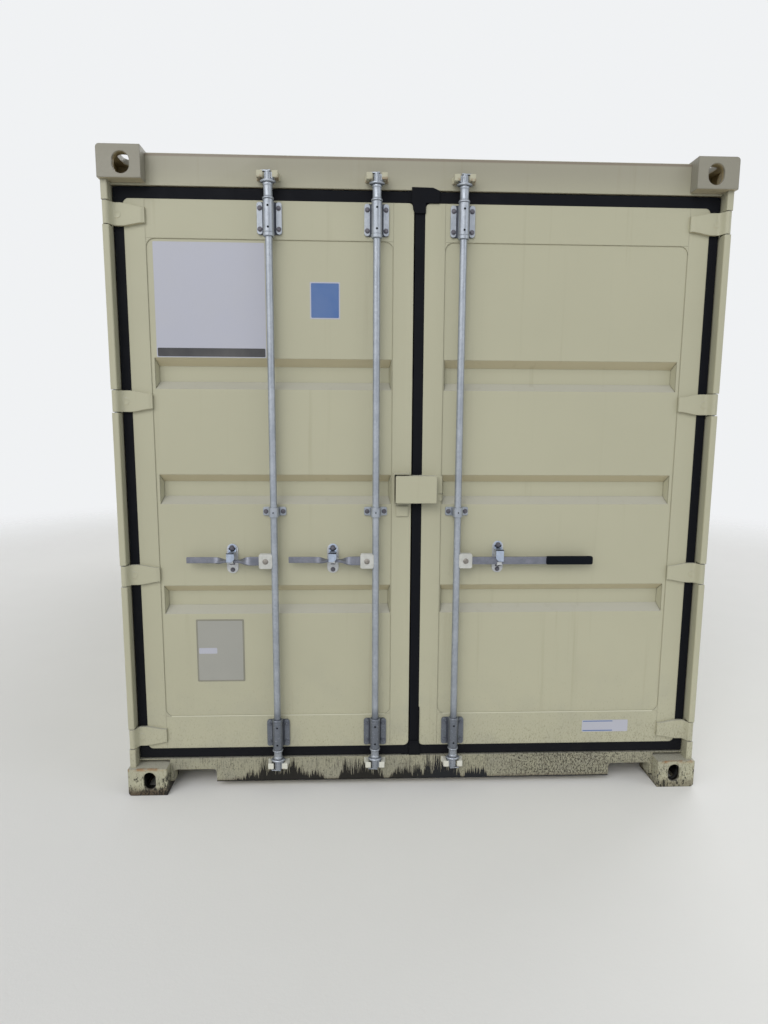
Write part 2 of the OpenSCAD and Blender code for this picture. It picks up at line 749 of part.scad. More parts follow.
// Guide at a rod's middle, seated on the panel between two grooves
module middle_guide() difference() {
    union() {
        translate([0, panel_y - bracket_t, 0]) along_y(bracket_t)
            plate([-bracket_w / 2, -guide_h / 2], [bracket_w / 2, guide_h / 2], 6);
        translate([0, 0, -guide_h / 2]) linear_extrude(guide_h) {
            circle(sleeve_r);
            translate([-sleeve_r, 0]) square([2 * sleeve_r, panel_y]);
        }
    }
    cylinder(r = rod_r + rod_gap, h = guide_h + 2, center = true);
    translate([0, -sleeve_r - 1, 0]) along_y(sleeve_r) circle(4.2);
}

module rod_brackets(rod) color(zinc) {
    for (e = rod_ends) at_edge(rod, e) end_bracket();
    translate([rod[0], back(rod_deep), leaf_mid - guide_drop]) middle_guide();
}

// Lock rod with the welded hub that carries the handle on its pivot bolt
module lock_rod(rod) color(zinc) translate([rod[0], back(rod_deep), 0]) scale([rod[1], 1, 1]) {
    translate([0, 0, sill_top + rod_end])
        cylinder(r = rod_r, h = header_z - sill_top - 2 * rod_end);
    translate([0, 0, handle_z]) {
        difference() {
            translate([-hub_out, -hub_t / 2, -hub_h / 2]) cube([hub_out - 8, hub_t, hub_h]);
            translate([-hub_out - 1, -bar_t / 2 - 1, -hub_h / 2 - 1])
                cube([hub_out - 17, bar_t + 2, hub_h + 2]);
            cylinder(r = rod_r - 1, h = hub_h + 2, center = true);
        }
        translate([-pivot_out, -hub_t / 2 - 4, 0]) along_y(hub_t + 6) circle(pin_r);
        translate([-pivot_out, -hub_t / 2 - 4, 0]) along_y(4) circle(pin_r + 3);
    }
}

// Cam forging at each rod end: ring, shank, oval flange, round body and one lug behind the keeper
module cam(rise) {
    lens_r = (flange_x * flange_x + flange_y * flange_y) / (2 * flange_y);
    translate([0, 0, -rod_end]) cylinder(r = sleeve_r + 2, h = cam_ring);
    translate([0, 0, -cam_start]) cylinder(r = cam_body + 1.5, h = cam_start + rise - flange_top);
    translate([0, 0, rise - flange_top - flange_t]) linear_extrude(flange_t) intersection() {
        translate([0, lens_r - flange_y]) circle(lens_r, $fn = 96);
        translate([0, flange_y - lens_r]) circle(lens_r, $fn = 96);
    }
    difference() {
        translate([0, 0, rise - flange_top]) cylinder(r = cam_body, h = flange_top + 1 + cam_h);
        translate([-4, -cam_body - 1, rise + 6]) cube([8, 5, cam_h]);
    }
    translate([0, 0, rise + 1]) linear_extrude(cam_h) intersection() {
        circle(cam_r);
        polygon([[0, 0], [2 * cam_r, -2 * cam_r * tan(cam_half)], [2 * cam_r, 2 * cam_r * tan(cam_half)]]);
    }
}

module cams(rod) color(zinc) for (e = rod_ends) at_edge(rod, e) cam(e[2]);

module at_pivot(rod) translate([rod[0], back(rod_deep), handle_z]) scale([rod[1], 1, 1])
    translate([-pivot_out, 0, 0]) children();

module slice(x, t, h) translate([x - 0.5, -t / 2, -h / 2]) cube([1, t, h]);

// Short handle: flat bar on edge, twisted flat where the retainer holds it
module short_handle(rod) color(zinc) at_pivot(rod) {
    flat0 = -retainer_out + waist_l / 2;
    flat1 = -retainer_out - waist_l / 2;
    difference() {
        union() {
            translate([0, -bar_t / 2, 0]) along_y(bar_t) circle(bar_h / 2);
            translate([-40, -bar_t / 2, -bar_h / 2]) cube([40, bar_t, bar_h]);
        }
        translate([0, -bar_t, 0]) along_y(2 * bar_t) circle(pin_r + pin_gap);
    }
    hull() { slice(-39.5, bar_t, bar_h); slice(flat0 + 30, bar_t, bar_h - 4); }
    hull() { slice(flat0 + 30, bar_t, bar_h - 4); slice(flat0, waist_t, waist_h); }
    hull() { slice(flat0, waist_t, waist_h); slice(flat1, waist_t, waist_h); }
    hull() { slice(flat1, waist_t, waist_h); slice(flat1 - 30, bar_t, tip_h); }
    translate([0, bar_t / 2, 0]) rotate([90, 0, 0]) linear_extrude(bar_t)
        plate([-handle_short, -tip_h / 2], [flat1 - 30, tip_h / 2], 3);
}

module long_bar(grow, x) translate([0, bar_t / 2 + grow, 0]) rotate([90, 0, 0])
    linear_extrude(bar_t + 2 * grow) plate([-x[1], -bar_h / 2 - grow], [-x[0], bar_h / 2 + grow], 3 + grow);

module long_handle(rod) color(zinc) at_pivot(rod) difference() {
    union() {
        translate([0, -bar_t / 2, 0]) along_y(bar_t) circle(bar_h / 2);
        long_bar(0, [0, handle_long - grip_t]);
    }
    translate([0, -bar_t, 0]) along_y(2 * bar_t) circle(pin_r + pin_gap);
}

module rubber_grip(rod) color(rubber) at_pivot(rod) difference() {
    long_bar(grip_t, [handle_long - grip_l, handle_long]);
    long_bar(0, [0, handle_long - grip_t]);
}

// Height of the handle bar where the retainer holds it
function held(rod) = rod[1] > 0 ? waist_h : bar_h;
function held_t(rod) = rod[1] > 0 ? waist_t : bar_t;
function shelf_up(rod) = held(rod) / 2 + lift_room;
function bolt_up(rod) = shelf_up(rod) + 18;

module at_retainer(rod) translate([rod[0], back(rod_deep), handle_z]) scale([rod[1], 1, 1])
    translate([-retainer_x, 0, 0]) children();

// Retainer: oblong plate on the panel with a cradle under the handle and a lip before it
module retainer(rod) color(zinc) at_retainer(rod) {
    front = -held_t(rod) / 2 - 1.5 - retainer_t;
    low = -held(rod) / 2 - 0.5;
    translate([0, panel_y - retainer_t, 0]) along_y(retainer_t) difference() {
        plate([-retainer_w / 2, -plate_low], [retainer_w / 2, bolt_up(rod) + 18], retainer_w / 2 - 1);
        translate([-cradle_w / 2, low - retainer_t - 14]) square([cradle_w, 12]);
    }
    translate([-cradle_w / 2, front, low - retainer_t])
        cube([cradle_w, panel_y - retainer_t - front, retainer_t]);
    translate([-cradle_w / 2, front, low - 1]) cube([cradle_w, retainer_t, cradle_lip + 1]);
    translate([0, panel_y - 2 * retainer_t - 5, bolt_up(rod)]) along_y(retainer_t + 5) circle(pin_r);
    translate([0, panel_y - 2 * retainer_t - 5, bolt_up(rod)]) along_y(4) circle(pin_r + 3.5);
}

// Catch: eye on the top bolt, shelf over the handle and a plate that hangs before it
module catch(rod) color(zinc) at_retainer(rod) {
    front = -held_t(rod) / 2 - 3 - 2 * retainer_t;
    y1 = panel_y - retainer_t - 0.3;
    up = bolt_up(rod);
    shelf = shelf_up(rod);
    difference() {
        union() {
            translate([0, y1 - retainer_t, up]) along_y(retainer_t) circle(catch_w / 2);
            translate([-catch_w / 2, y1 - retainer_t, shelf]) cube([catch_w, retainer_t, up - shelf]);
            translate([-catch_w / 2, front, shelf]) cube([catch_w, y1 - front, retainer_t]);
            translate([0, front, 0]) along_y(retainer_t)
                plate([-catch_w / 2, shelf - catch_drop], [catch_w / 2, shelf + retainer_t], 2);
        }
        translate([0, y1 - retainer_t - 1, up]) along_y(retainer_t + 2) circle(pin_r + pin_gap);
        translate([0, front - 1, shelf - 12]) along_y(retainer_t + 2) circle(4.5);
    }
}

// Lock box: hood on the right door that reaches over the left one, open below
module lock_box() color(paint) {
    x0 = -box_over;
    x1 = box_w - box_over;
    y0 = back(5);
    y1 = back(leaf_deep);
    z0 = leaf_mid + 5 - box_h / 2;
    z1 = z0 + box_h;
    difference() {
        translate([0, y0, 0]) along_y(y1 - y0) plate([x0, z0], [x1, z1], 6);
        box([x0 + box_t, x1 - box_t], [y0 + box_t, y1 + 1], [z0 - 1, z1 - box_t]);
        box([x0 - 1, leaf_in(1)], [y1 - 4, y1 + 1], [z0 - 1, z1 + 1]);
    }
    difference() {
        box([leaf_in(1) + 3, x1 - box_t], [y1 - 34, y1], [leaf_mid, leaf_mid + 8]);
        translate([leaf_in(1) + 17, y1 - 20, leaf_mid - 1]) cylinder(r = 7, h = 10);
    }
}

// Shroud on the left door: folded strip round the lock box, padlock eye and a stop tab
module lock_box_shroud() color(paint) {
    x0 = -box_over - box_gap - box_t;
    x1 = -leaf_in(-1) - 8;
    y0 = back(16);
    y1 = back(leaf_deep);
    z0 = leaf_mid + 5 - box_h / 2;
    z1 = z0 + box_h + box_gap;
    box([x0, x0 + box_t], [y0, y1], [z0, z1 + box_t]);
    box([x0, x1], [y0, y1], [z1, z1 + box_t]);
    difference() {
        box([x1 - 34, x1], [y1 - 34, y1], [leaf_mid, leaf_mid + 8]);
        translate([x1 - 17, y1 - 20, leaf_mid - 1]) cylinder(r = 7, h = 10);
    }
    box([x0 + 14, x1 - 4], [y1 - 6, y1], [z0 - 60, z0 - 17]);
}

top_castings();
bottom_castings();
rear_posts();
front_posts();
door_header();
door_sill();
front_header();
front_sill();
top_side_rails();
bottom_side_rails();
cross_members();
forklift_pockets();
floor_boards();
side_walls();
front_wall();
roof_panel();
roof_end_plates();
side_vents();
cam_keepers();
hinge_pins();
mirror([1, 0, 0]) door_stiles(-1);  // left_door_stiles
mirror([1, 0, 0]) door_rails(-1);  // left_door_rails
mirror([1, 0, 0]) door_panel(-1);  // left_door_panel
color(rubber) mirror([1, 0, 0]) gasket_ring(-1, 0);  // left_door_gasket
mirror([1, 0, 0]) door_hinges();  // left_door_hinges
union() { rod_brackets(rods[0]); rod_brackets(rods[1]); }  // left_rod_brackets
union() { retainer(rods[0]); retainer(rods[1]); }  // left_handle_retainers
lock_box_shroud();
door_stiles(1);  // right_door_stiles
door_rails(1);  // right_door_rails
door_panel(1);  // right_door_panel
color(rubber) gasket_ring(1, leaf_gap - gasket_clear);  // right_door_gasket
door_hinges();  // right_door_hinges
rod_brackets(rods[2]);  // right_rod_brackets
retainer(rods[2]);  // right_handle_retainer
lock_box();
lock_rod(rods[0]);  // lock_rod_1
lock_rod(rods[1]);  // lock_rod_2
lock_rod(rods[2]);  // lock_rod_3
cams(rods[0]);  // cams_1
cams(rods[1]);  // cams_2
cams(rods[2]);  // cams_3
short_handle(rods[0]);  // handle_1
short_handle(rods[1]);  // handle_2
long_handle(rods[2]);  // handle_3
rubber_grip(rods[2]);  // handle_grip
catch(rods[0]);  // catch_1
catch(rods[1]);  // catch_2
catch(rods[2]);  // catch_3
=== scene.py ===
# Looks of a twenty-foot shipping container, seen from its door end
import math

import bmesh
import bpy
from mathutils import Matrix, Vector


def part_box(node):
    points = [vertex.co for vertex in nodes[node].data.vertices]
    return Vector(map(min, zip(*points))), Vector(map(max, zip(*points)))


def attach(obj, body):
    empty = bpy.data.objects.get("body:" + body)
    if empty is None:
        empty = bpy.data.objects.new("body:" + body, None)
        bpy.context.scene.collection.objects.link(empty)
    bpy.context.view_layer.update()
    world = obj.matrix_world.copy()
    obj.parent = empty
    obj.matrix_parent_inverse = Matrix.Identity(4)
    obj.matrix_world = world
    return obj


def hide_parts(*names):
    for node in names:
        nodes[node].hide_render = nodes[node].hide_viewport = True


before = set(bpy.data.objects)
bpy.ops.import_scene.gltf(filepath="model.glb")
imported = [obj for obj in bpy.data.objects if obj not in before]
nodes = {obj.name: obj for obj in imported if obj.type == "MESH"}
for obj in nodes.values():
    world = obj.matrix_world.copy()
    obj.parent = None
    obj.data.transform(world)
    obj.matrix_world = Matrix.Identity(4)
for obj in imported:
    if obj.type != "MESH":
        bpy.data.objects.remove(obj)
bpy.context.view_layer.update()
print("frame loaded:", len(nodes), "nodes")

frontY = -3.029  # outer face of the door-end castings; depths count from here


def deep(depth):
    return frontY + depth


# ---- camera and lamps
photo = dict(place=(-0.2501, -5.6783, 1.5936), right=(0.99921, -0.03943, 0.00545),
             down=(-0.00018, -0.14126, -0.98997), focalPixels=661.96, longSide=1024, sensor=36, farClip=200)


def setCamera():
    right, up = Vector(photo["right"]).normalized(), -Vector(photo["down"]).normalized()
    back = right.cross(up).normalized()
    up = back.cross(right)
    camera = bpy.data.objects.new("camera", bpy.data.cameras.new("camera"))
    bpy.context.scene.collection.objects.link(camera)
    turn = Matrix((right, up, back)).transposed().to_4x4()
    camera.matrix_world = Matrix.Translation(photo["place"]) @ turn
    camera.data.sensor_width = photo["sensor"]
    camera.data.lens = photo["focalPixels"] * photo["sensor"] / photo["longSide"]
    camera.data.clip_end = photo["farClip"]
    bpy.context.scene.camera = camera


lamps = (
    dict(name="keySun", place=(-3.5, -9, 7), aim=(0, 0, 0), power=1.25, spread=40, colour=(1, 0.985, 0.96)),
    dict(name="backSun", place=(6, 9, 7), aim=(0, 0, 0), power=0.85, spread=40),
    dict(name="leftLamp", place=(-7, -8, 4.5), aim=(0, -3, 1.2), power=90, size=4),
    dict(name="rightLamp", place=(7, -7, 4.5), aim=(0, -3, 1.2), power=70, size=4, colour=(0.93, 0.97, 1)),
)


def addLamp(name, place, aim, power, size=None, spread=None, colour=(1, 1, 1)):
    # an area lamp when it has a size, otherwise a broad even sun
    lamp = bpy.data.lights.new(name, "AREA" if size else "SUN")
    if size:
        lamp.shape, lamp.size = "SQUARE", size
    else:
        lamp.angle = math.radians(spread)
    lamp.energy, lamp.color = power, colour
    holder = bpy.data.objects.new(name, lamp)
    holder.location = place
    holder.rotation_euler = (Vector(aim) - Vector(place)).to_track_quat("-Z", "Y").to_euler()
    bpy.context.scene.collection.objects.link(holder)


# ---- shader maths: a Wire is an output socket that Python sums and products act on
class Wire:
    def __init__(self, tree, socket):
        self.tree, self.socket = tree, socket

    def reckon(self, operation, *values):
        node = self.tree.nodes.new("ShaderNodeMath")
        node.operation = operation
        for place, value in enumerate(values):
            plug(self.tree, node.inputs[place], value)
        return Wire(self.tree, node.outputs[0])

    def __add__(self, other):
        return self.reckon("ADD", self, other)

    def __radd__(self, other):
        return self.reckon("ADD", other, self)

    def __sub__(self, other):
        return self.reckon("SUBTRACT", self, other)

    def __rsub__(self, other):
        return self.reckon("SUBTRACT", other, self)

    def __mul__(self, other):
        return self.reckon("MULTIPLY", self, other)

    def __rmul__(self, other):
        return self.reckon("MULTIPLY", other, self)


def plug(tree, socket, value):
    if isinstance(value, Wire):
        tree.links.new(value.socket, socket)
    else:
        socket.default_value = value


class Nodes:
    def __init__(self, tree):
        self.tree = tree

    def node(self, kind, settings=None, inputs=None, out=0):
        made = self.tree.nodes.new(kind)
        for key, value in (settings or {}).items():
            setattr(made, key, value)
        for key, value in (inputs or {}).items():
            plug(self.tree, made.inputs[key], value)
        return Wire(self.tree, made.outputs[out])


class Finish(Nodes):
    def __init__(self, name, metallic=0.0, coat=0.0, glint=0.5):
        self.material = bpy.data.materials.new(name)
        self.material.use_nodes = True
        super().__init__(self.material.node_tree)
        self.shader = self.tree.nodes["Principled BSDF"]
        for socket, value in (("Metallic", metallic), ("Coat Weight", coat), ("Specular IOR Level", glint)):
            self.shader.inputs[socket].default_value = value
        self.place = self.node("ShaderNodeTexCoord", out="Object")
        self.axes = {}

    def stretched(self, scale):
        return self.node("ShaderNodeMapping", inputs={"Vector": self.place, "Scale": scale})

    def noise(self, scale, detail=3.0, roughness=0.55, where=None):
        return self.node("ShaderNodeTexNoise", inputs={
            "Vector": where or self.place, "Scale": scale, "Detail": detail, "Roughness": roughness})

    def streaks(self, scale, detail, roughness):
        # noise of another size along each axis
        return self.noise(1.0, detail, roughness, self.stretched(scale))

    def ramp(self, value, low, high, start=0.0, end=1.0):
        return self.node("ShaderNodeMapRange", {"interpolation_type": "SMOOTHSTEP"}, {
            "Value": value, "From Min": low, "From Max": high, "To Min": start, "To Max": end})

    def band(self, value, low, high, soft=0.004):
        return self.ramp(value, low - soft, low + soft) * self.ramp(value, high + soft, high - soft)

    def blend(self, factor, under, over):
        return self.node("ShaderNodeMix", {"data_type": "RGBA"}, {0: factor, 6: under, 7: over}, out=2)

    def along(self, axis):
        if axis not in self.axes:
            self.axes[axis] = self.node("ShaderNodeSeparateXYZ", inputs={0: self.place}, out=axis)
        return self.axes[axis]

    def softEdges(self, radius):
        return self.node("ShaderNodeBevel", {"samples": 4}, {"Radius": radius})

    def bump(self, height, distance, normal=None, strength=1.0):
        inputs = {"Height": height, "Distance": distance, "Strength": strength}
        if normal is not None:
            inputs["Normal"] = normal
        return self.node("ShaderNodeBump", inputs=inputs)

    def finish(self, colour, roughness, normal):
        plug(self.tree, self.shader.inputs["Base Color"], colour)
        plug(self.tree, self.shader.inputs["Roughness"], roughness)
        plug(self.tree, self.shader.inputs["Normal"], normal)
        return self.material


# ---- paint: its own tones, painted light and shade by how faces turn, then what weather and road leave on it
paintTones = dict(
    cream=(0.442, 0.431, 0.310, 1), dull=(0.258, 0.245, 0.195, 1), shade=(0.292, 0.277, 0.216, 1),
    roofEdge=(0.17, 0.125, 0.095, 1), underShade=(0.58, 0.49, 0.30, 1), dustAndSkyLight=(0.42, 0.42, 0.41, 1),
    stain=(0.22, 0.18, 0.10, 1), haze=(0.27, 0.265, 0.235, 1), splash=(0.17, 0.155, 0.10, 1),
    soil=(0.13, 0.105, 0.075, 1), mud=(0.006, 0.0055, 0.0048, 1), blueMud=(0.005, 0.007, 0.011, 1),
    greyed=(0.145, 0.138, 0.110, 1), drip=(0.070, 0.063, 0.048, 1), rash=(0.034, 0.030, 0.022, 1),
    rust=(0.15, 0.060, 0.022, 1), rustLine=(0.30, 0.15, 0.055, 1), footDirt=(0.062, 0.037, 0.020, 1),
    tan=(0.33, 0.26, 0.13, 1))
# heights between which each mark comes or goes; splashAcross is along X
weather = dict(roof=(2.36, 2.56), ground=(0.10, 0.75), splash=(0.14, 0.38), splashAcross=(-0.5, 0.9))
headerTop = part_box("door_header")[1][2]
roofLine = dict(low=headerTop - 0.011, high=headerTop - 0.006, depth=(0.25, 0.20), share=0.75)
# noise sizes; a triple is stretched along the axes
paintGrain = dict(cloud=1.1, streak=(26, 26, 0.9), haze=7, speck=(230, 230, 110), wave=2.3, fine=420,
                  pits=70, sheen=5)
sillFace = dict(foot=0.028, top=0.136, front=0.054, drips=(190, 1, 14), rash=(150, 1, 90),
                rashFrom=(0.22, 0.55), rashTo=(0.80, 0.96), spikes=(58, 1, 3.5), hairs=(330, 1, 11),
                torn=(260, 1, 60), reach=0.05)
# dried mud on the sill: (x where it starts, full from, full to, ends, share of the height it reaches)
mudHeaps = ((-0.80, -0.70, -0.42, -0.38, 0.36), (-0.70, -0.64, -0.53, -0.47, 0.46),
            (-0.34, -0.30, -0.16, -0.13, 0.80), (-0.12, -0.07, 0.02, 0.04, 0.52),
            (0.03, 0.05, 0.17, 0.21, 0.84), (0.215, 0.225, 0.30, 0.33, 0.34))
castingFace = dict(rustLine=(0.110, 0.124), foot=(0.050, 0.014), inner=(-1.085, -1.05), drops=(120, 120, 45))
# dirt inside the castings: across from the middle, depths where it fades in and out, (tone, low, high)
castingHoles = dict(across=(1.070, 1.206), fadeIn=(0.004, 0.016), fadeOut=(0.172, 0.167),
                    low=("mud", 0.018, 0.108), high=("tan", 2.484, 2.570))


def shades(tone, share):
    return tuple(c * share for c in tone[:3]) + (1,)


def makePaint(name, tone="cream", edge=0.004, grime=0.35, drips=False, dulled=0.0, cast=0.0, rust=0.0,
              hole=None):
    t, w, g = paintTones, weather, paintGrain
    muddy = drips or hole == "low"
    f = Finish(name, coat=0.04 if muddy else 0.10, glint=0.25 if muddy else 0.5)
    x, y, z = (f.along(axis) for axis in "XYZ")
    cloud = f.noise(g["cloud"], 4)
    colour = f.blend(f.ramp(cloud, 0.3, 0.7), shades(t[tone], 0.95), t[tone])
    if dulled:
        # the paint is darker towards the roof, with a rusty line along its edge
        colour = f.blend(f.ramp(z, *w["roof"], 0.0, dulled), colour, t["shade"])
        near = f.ramp(y, *(deep(d) for d in roofLine["depth"]))
        line = f.ramp(z, roofLine["low"], roofLine["high"]) * near
        colour = f.blend(line * (dulled * roofLine["share"]), colour, t["roofEdge"])
    # painted light: faces turned down get a brownish painted shade, as under the ledges, and faces turned up
    # a pale grey-blue painted sky light
    normal = f.node("ShaderNodeNewGeometry", out="Normal")
    facingUp = f.node("ShaderNodeSeparateXYZ", inputs={0: normal}, out="Z")
    colour = f.blend(f.ramp(facingUp, -0.25, -0.8, 0.0, 0.55), colour, t["underShade"])
    colour = f.blend(f.ramp(facingUp, 0.25, 0.8, 0.0, 0.5), colour, t["dustAndSkyLight"])
    # faint rain streaks that run down the steel
    streak = f.ramp(f.streaks(g["streak"], 4, 0.6), 0.56, 0.80, 0.0, 0.20)
    colour = f.blend(streak * f.ramp(cloud, 0.35, 0.6), colour, t["stain"])
    # dust and splashes thicken towards the ground
    low = f.ramp(z, *w["ground"], 1.0, 0.0)
    haze = f.ramp(f.noise(g["haze"], 5, 0.6), 0.40, 0.75)
    colour = f.blend(haze * low * (grime * 0.6), colour, t["haze"])
    speck = f.streaks(g["speck"], 4, 0.7)
    splash = f.ramp(z, *w["splash"], 0.9, 0.0) * f.ramp(x, *w["splashAcross"], 0.35, 1.0)
    colour = f.blend(f.ramp(speck, 0.60, 0.70) * low * grime, colour, t["soil"])
    colour = f.blend(f.ramp(speck, 0.49, 0.62) * splash * (grime * 1.4), colour, t["splash"])
    if drips:
        colour = sillDirtAndShade(f, x, y, z, colour)
    if rust:
        colour = castingRust(f, x, y, z, colour, rust)
    if hole:
        colour = holeDirt(f, x, y, z, colour, hole)
    wave = f.bump(f.noise(g["wave"], 1), 0.010, f.softEdges(edge), 0.6)
    normal = f.bump(f.noise(g["fine"], 2), 0.0006 + cast * 0.0015, wave, 0.5)
    if cast:
        normal = f.bump(f.noise(g["pits"], 6, 0.6), 0.003 * cast, normal, 0.6)
    return f.finish(colour, f.ramp(f.noise(g["sheen"], 4), 0.3, 0.7, 0.42, 0.54), normal)


def sillDirtAndShade(f, x, y, z, colour):
    t, s = paintTones, sillFace
    front = f.ramp(y, deep(s["front"] + 0.012), deep(s["front"] + 0.004))
    level = (z - s["foot"]) * (1 / (s["top"] - s["foot"]))
    # the face is a little greyed, with dark drips and a rash of dark spots to the right
    colour = f.blend(front * 0.34, colour, t["greyed"])
    drips = f.ramp(f.streaks(s["drips"], 5, 0.7), 0.52, 0.64, 0.0, 0.72)
    colour = f.blend(drips * front, colour, t["drip"])
    dense = f.ramp(x, *s["rashFrom"], -0.05, 0.022) + f.ramp(x, *s["rashTo"], 0.0, -0.045)
    rash = f.ramp(f.streaks(s["rash"], 5, 0.72) + dense, 0.53, 0.57, 0.0, 0.9)
    colour = f.blend(rash * front, colour, t["rash"])
    # grass-like spikes of mud that stand up from the foot, on a thin black line that is partly mud and partly
    # painted shade under the sill's edge
    reach = s["reach"]
    for start, full, fullTo, end, height in mudHeaps:
        reach = reach + (f.ramp(x, start, full) - f.ramp(x, fullTo, end)) * height
    spikes = f.ramp(f.streaks(s["spikes"], 4, 0.6), 0.34, 0.64)
    hairs = f.ramp(f.streaks(s["hairs"], 3, 0.6), 0.38, 0.62)
    over = reach * (spikes * 0.50 + hairs * 0.62 + 0.14) - level
    torn = f.ramp(f.streaks(s["torn"], 4, 0.7), 0.60, 0.66) * f.ramp(level, 0.12, 0.4)
    mud = f.ramp(over, -0.012, 0.025) * front * (1.0 - torn * 0.6)
    blue = f.blend(f.ramp(x, -0.1, 0.15), t["mud"], t["blueMud"])
    colour = f.blend(f.ramp(over, -0.14, 0.0, 0.0, 0.5) * front, colour, t["soil"])
    colour = f.blend(mud * 0.97, colour, blue)
    # the thin black line along the foot: partly mud, partly painted shade under the sill's rounded edge
    return f.blend(f.ramp(level, 0.055, 0.035) * front * 0.9, colour, blue)


def castingRust(f, x, y, z, colour, rust):
    # a rusty line along the top edge, brown dirt at the foot and mud towards the middle of the container
    t, c = paintTones, castingFace
    patch = f.noise(26, 7, 0.65)
    edge = f.ramp(patch, 0.42, 0.62) * f.ramp(y, deep(0.014), deep(0.004))
    colour = f.blend(f.band(z, *c["rustLine"], 0.006) * edge * rust, colour, t["rustLine"])
    colour = f.blend(f.ramp(patch, 0.60, 0.72, 0.0, 0.35) * f.ramp(z, 0.12, 0.03), colour, t["rust"])
    foot = f.ramp(z + (patch - 0.5) * 0.06, *c["foot"]) * f.ramp(x, 0.2, -0.2, 0.5, 1.0)
    colour = f.blend(foot * 0.9, colour, t["footDirt"])
    inner = f.ramp(x, *c["inner"]) * f.ramp(x, 0.0, -0.5)
    drops = f.ramp(f.streaks(c["drops"], 5, 0.7) + inner * 0.13 - z * 0.8, 0.50, 0.55)
    return f.blend(drops * f.ramp(z, 0.115, 0.07) * 0.9, colour, t["mud"])


def holeDirt(f, x, y, z, colour, hole):
    c = castingHoles
    tone, low, high = c[hole]
    near, far = c["across"]
    inside = f.ramp(y, *(deep(d) for d in c["fadeIn"])) * f.ramp(y, *(deep(d) for d in c["fadeOut"]))
    wide = f.band(x, -far, -near) + f.band(x, near, far)
    return f.blend(inside * wide * f.band(z, low, high), colour, paintTones[tone])


# ---- other finishes
zincTones = dict(light=(0.395, 0.425, 0.47, 1), dark=(0.30, 0.33, 0.375, 1), bloom=(0.58, 0.58, 0.56, 1),
                 slate=(0.13, 0.145, 0.175, 1), slateSpeck=(0.33, 0.35, 0.40, 1),
                 soil=(0.055, 0.052, 0.048, 1))


def makeZinc(name, light=zincTones["light"], dark=zincTones["dark"], metallic=0.6, rough=0.38,
             grime=0.3, slate=0.0):
    t, f = zincTones, Finish(name, metallic=metallic)
    z = f.along("Z")
    spangle = f.node("ShaderNodeTexVoronoi", inputs={"Vector": f.place, "Scale": 95.0}, out="Color")
    flake = f.node("ShaderNodeSeparateColor", inputs={0: spangle})
    cloud = f.noise(14, 5, 0.6)
    colour = f.blend(f.ramp(flake * 0.22 + cloud * 0.85, 0.3, 0.85), dark, light)
    colour = f.blend(f.ramp(f.noise(55, 6, 0.7), 0.60, 0.80, 0.0, 0.25), colour, t["bloom"])
    if slate:
        # the zinc near the ground has gone slate grey
        low = f.ramp(z + cloud * 0.06, 0.42, 0.34) * slate
        colour = f.blend(low, colour, t["slate"])
        colour = f.blend(f.ramp(f.noise(160, 4, 0.7), 0.56, 0.66) * low * 0.8, colour, t["slateSpeck"])
    soil = f.ramp(z, 0.12, 0.42, 1.0, 0.0) * f.ramp(f.noise(180, 5, 0.7), 0.5, 0.7) * grime
    colour = f.blend(soil, colour, t["soil"])
    normal = f.bump(f.noise(300, 4, 0.6), 0.0005, f.softEdges(0.0015), 0.5)
    return f.finish(colour, f.ramp(cloud, 0.3, 0.75, rough - 0.06, rough + 0.12), normal)


rubberTones = dict(seal=(0.0042, 0.0048, 0.0072, 1), grip=(0.0020, 0.0036, 0.0070, 1),
                   dustAndSkyLight=(0.022, 0.022, 0.021, 1))


def makeRubber(name, base, dusty=0.18, rough=0.62):
    f = Finish(name, glint=0.1)
    cloud = f.noise(9, 5, 0.6)
    dustAndSkyLight = f.ramp(cloud, 0.5, 0.8, 0.0, dusty) + f.ramp(f.along("Z"), 0.12, 0.24, dusty, 0.0)
    colour = f.blend(dustAndSkyLight, rubberTones[base], rubberTones["dustAndSkyLight"])
    normal = f.bump(f.noise(500, 3), 0.0005, f.softEdges(0.002), 0.5)
    return f.finish(colour, f.ramp(cloud, 0.3, 0.7, rough - 0.08, rough + 0.12), normal)


woodTones = dict(dark=(0.19, 0.105, 0.05, 1), light=(0.40, 0.26, 0.14, 1), scuff=(0.16, 0.13, 0.10, 1))


def makeWood(name):
    t, f = woodTones, Finish(name)
    grain = f.streaks((60, 2.2, 60), 6, 0.6)
    scuff = f.ramp(f.noise(6, 6, 0.65), 0.5, 0.7, 0.0, 0.5)
    colour = f.blend(scuff, f.blend(grain, t["dark"], t["light"]), t["scuff"])
    return f.finish(colour, f.ramp(grain, 0.3, 0.7, 0.55, 0.75), f.bump(grain, 0.0008))


def makeVinyl(name, base, faded=(0.45, 0.44, 0.40, 1)):
    f = Finish(name, coat=0.2)
    fade = f.noise(4, 4)
    colour = f.blend(f.ramp(fade, 0.3, 0.7, 0.0, 0.12), base, faded)
    return f.finish(colour, f.ramp(fade, 0.3, 0.7, 0.32, 0.45), f.bump(f.noise(3, 2), 0.002, None, 0.3))


keeperTones = dict(bare=(0.62, 0.62, 0.55, 1), cream=(0.46, 0.445, 0.33, 1), rust=(0.20, 0.11, 0.05, 1))


def makeKeeper(name):
    # cream at the header, bare whitish metal at the sill, both with rusty feet
    t, f = keeperTones, Finish(name)
    z = f.along("Z")
    patch = f.noise(38, 6, 0.65)
    colour = f.blend(f.ramp(z, 0.3, 0.6), t["bare"], t["cream"])
    headerFeet = f.band(z, 2.482, 2.495, 0.005) * f.ramp(patch, 0.42, 0.56)
    feet = headerFeet + f.ramp(z, 0.114, 0.106) * f.ramp(patch, 0.50, 0.60)
    normal = f.bump(f.noise(120, 5, 0.6), 0.0012, f.softEdges(0.003), 0.6)
    return f.finish(f.blend(feet * 0.65, colour, t["rust"]), f.ramp(patch, 0.3, 0.7, 0.45, 0.6), normal)


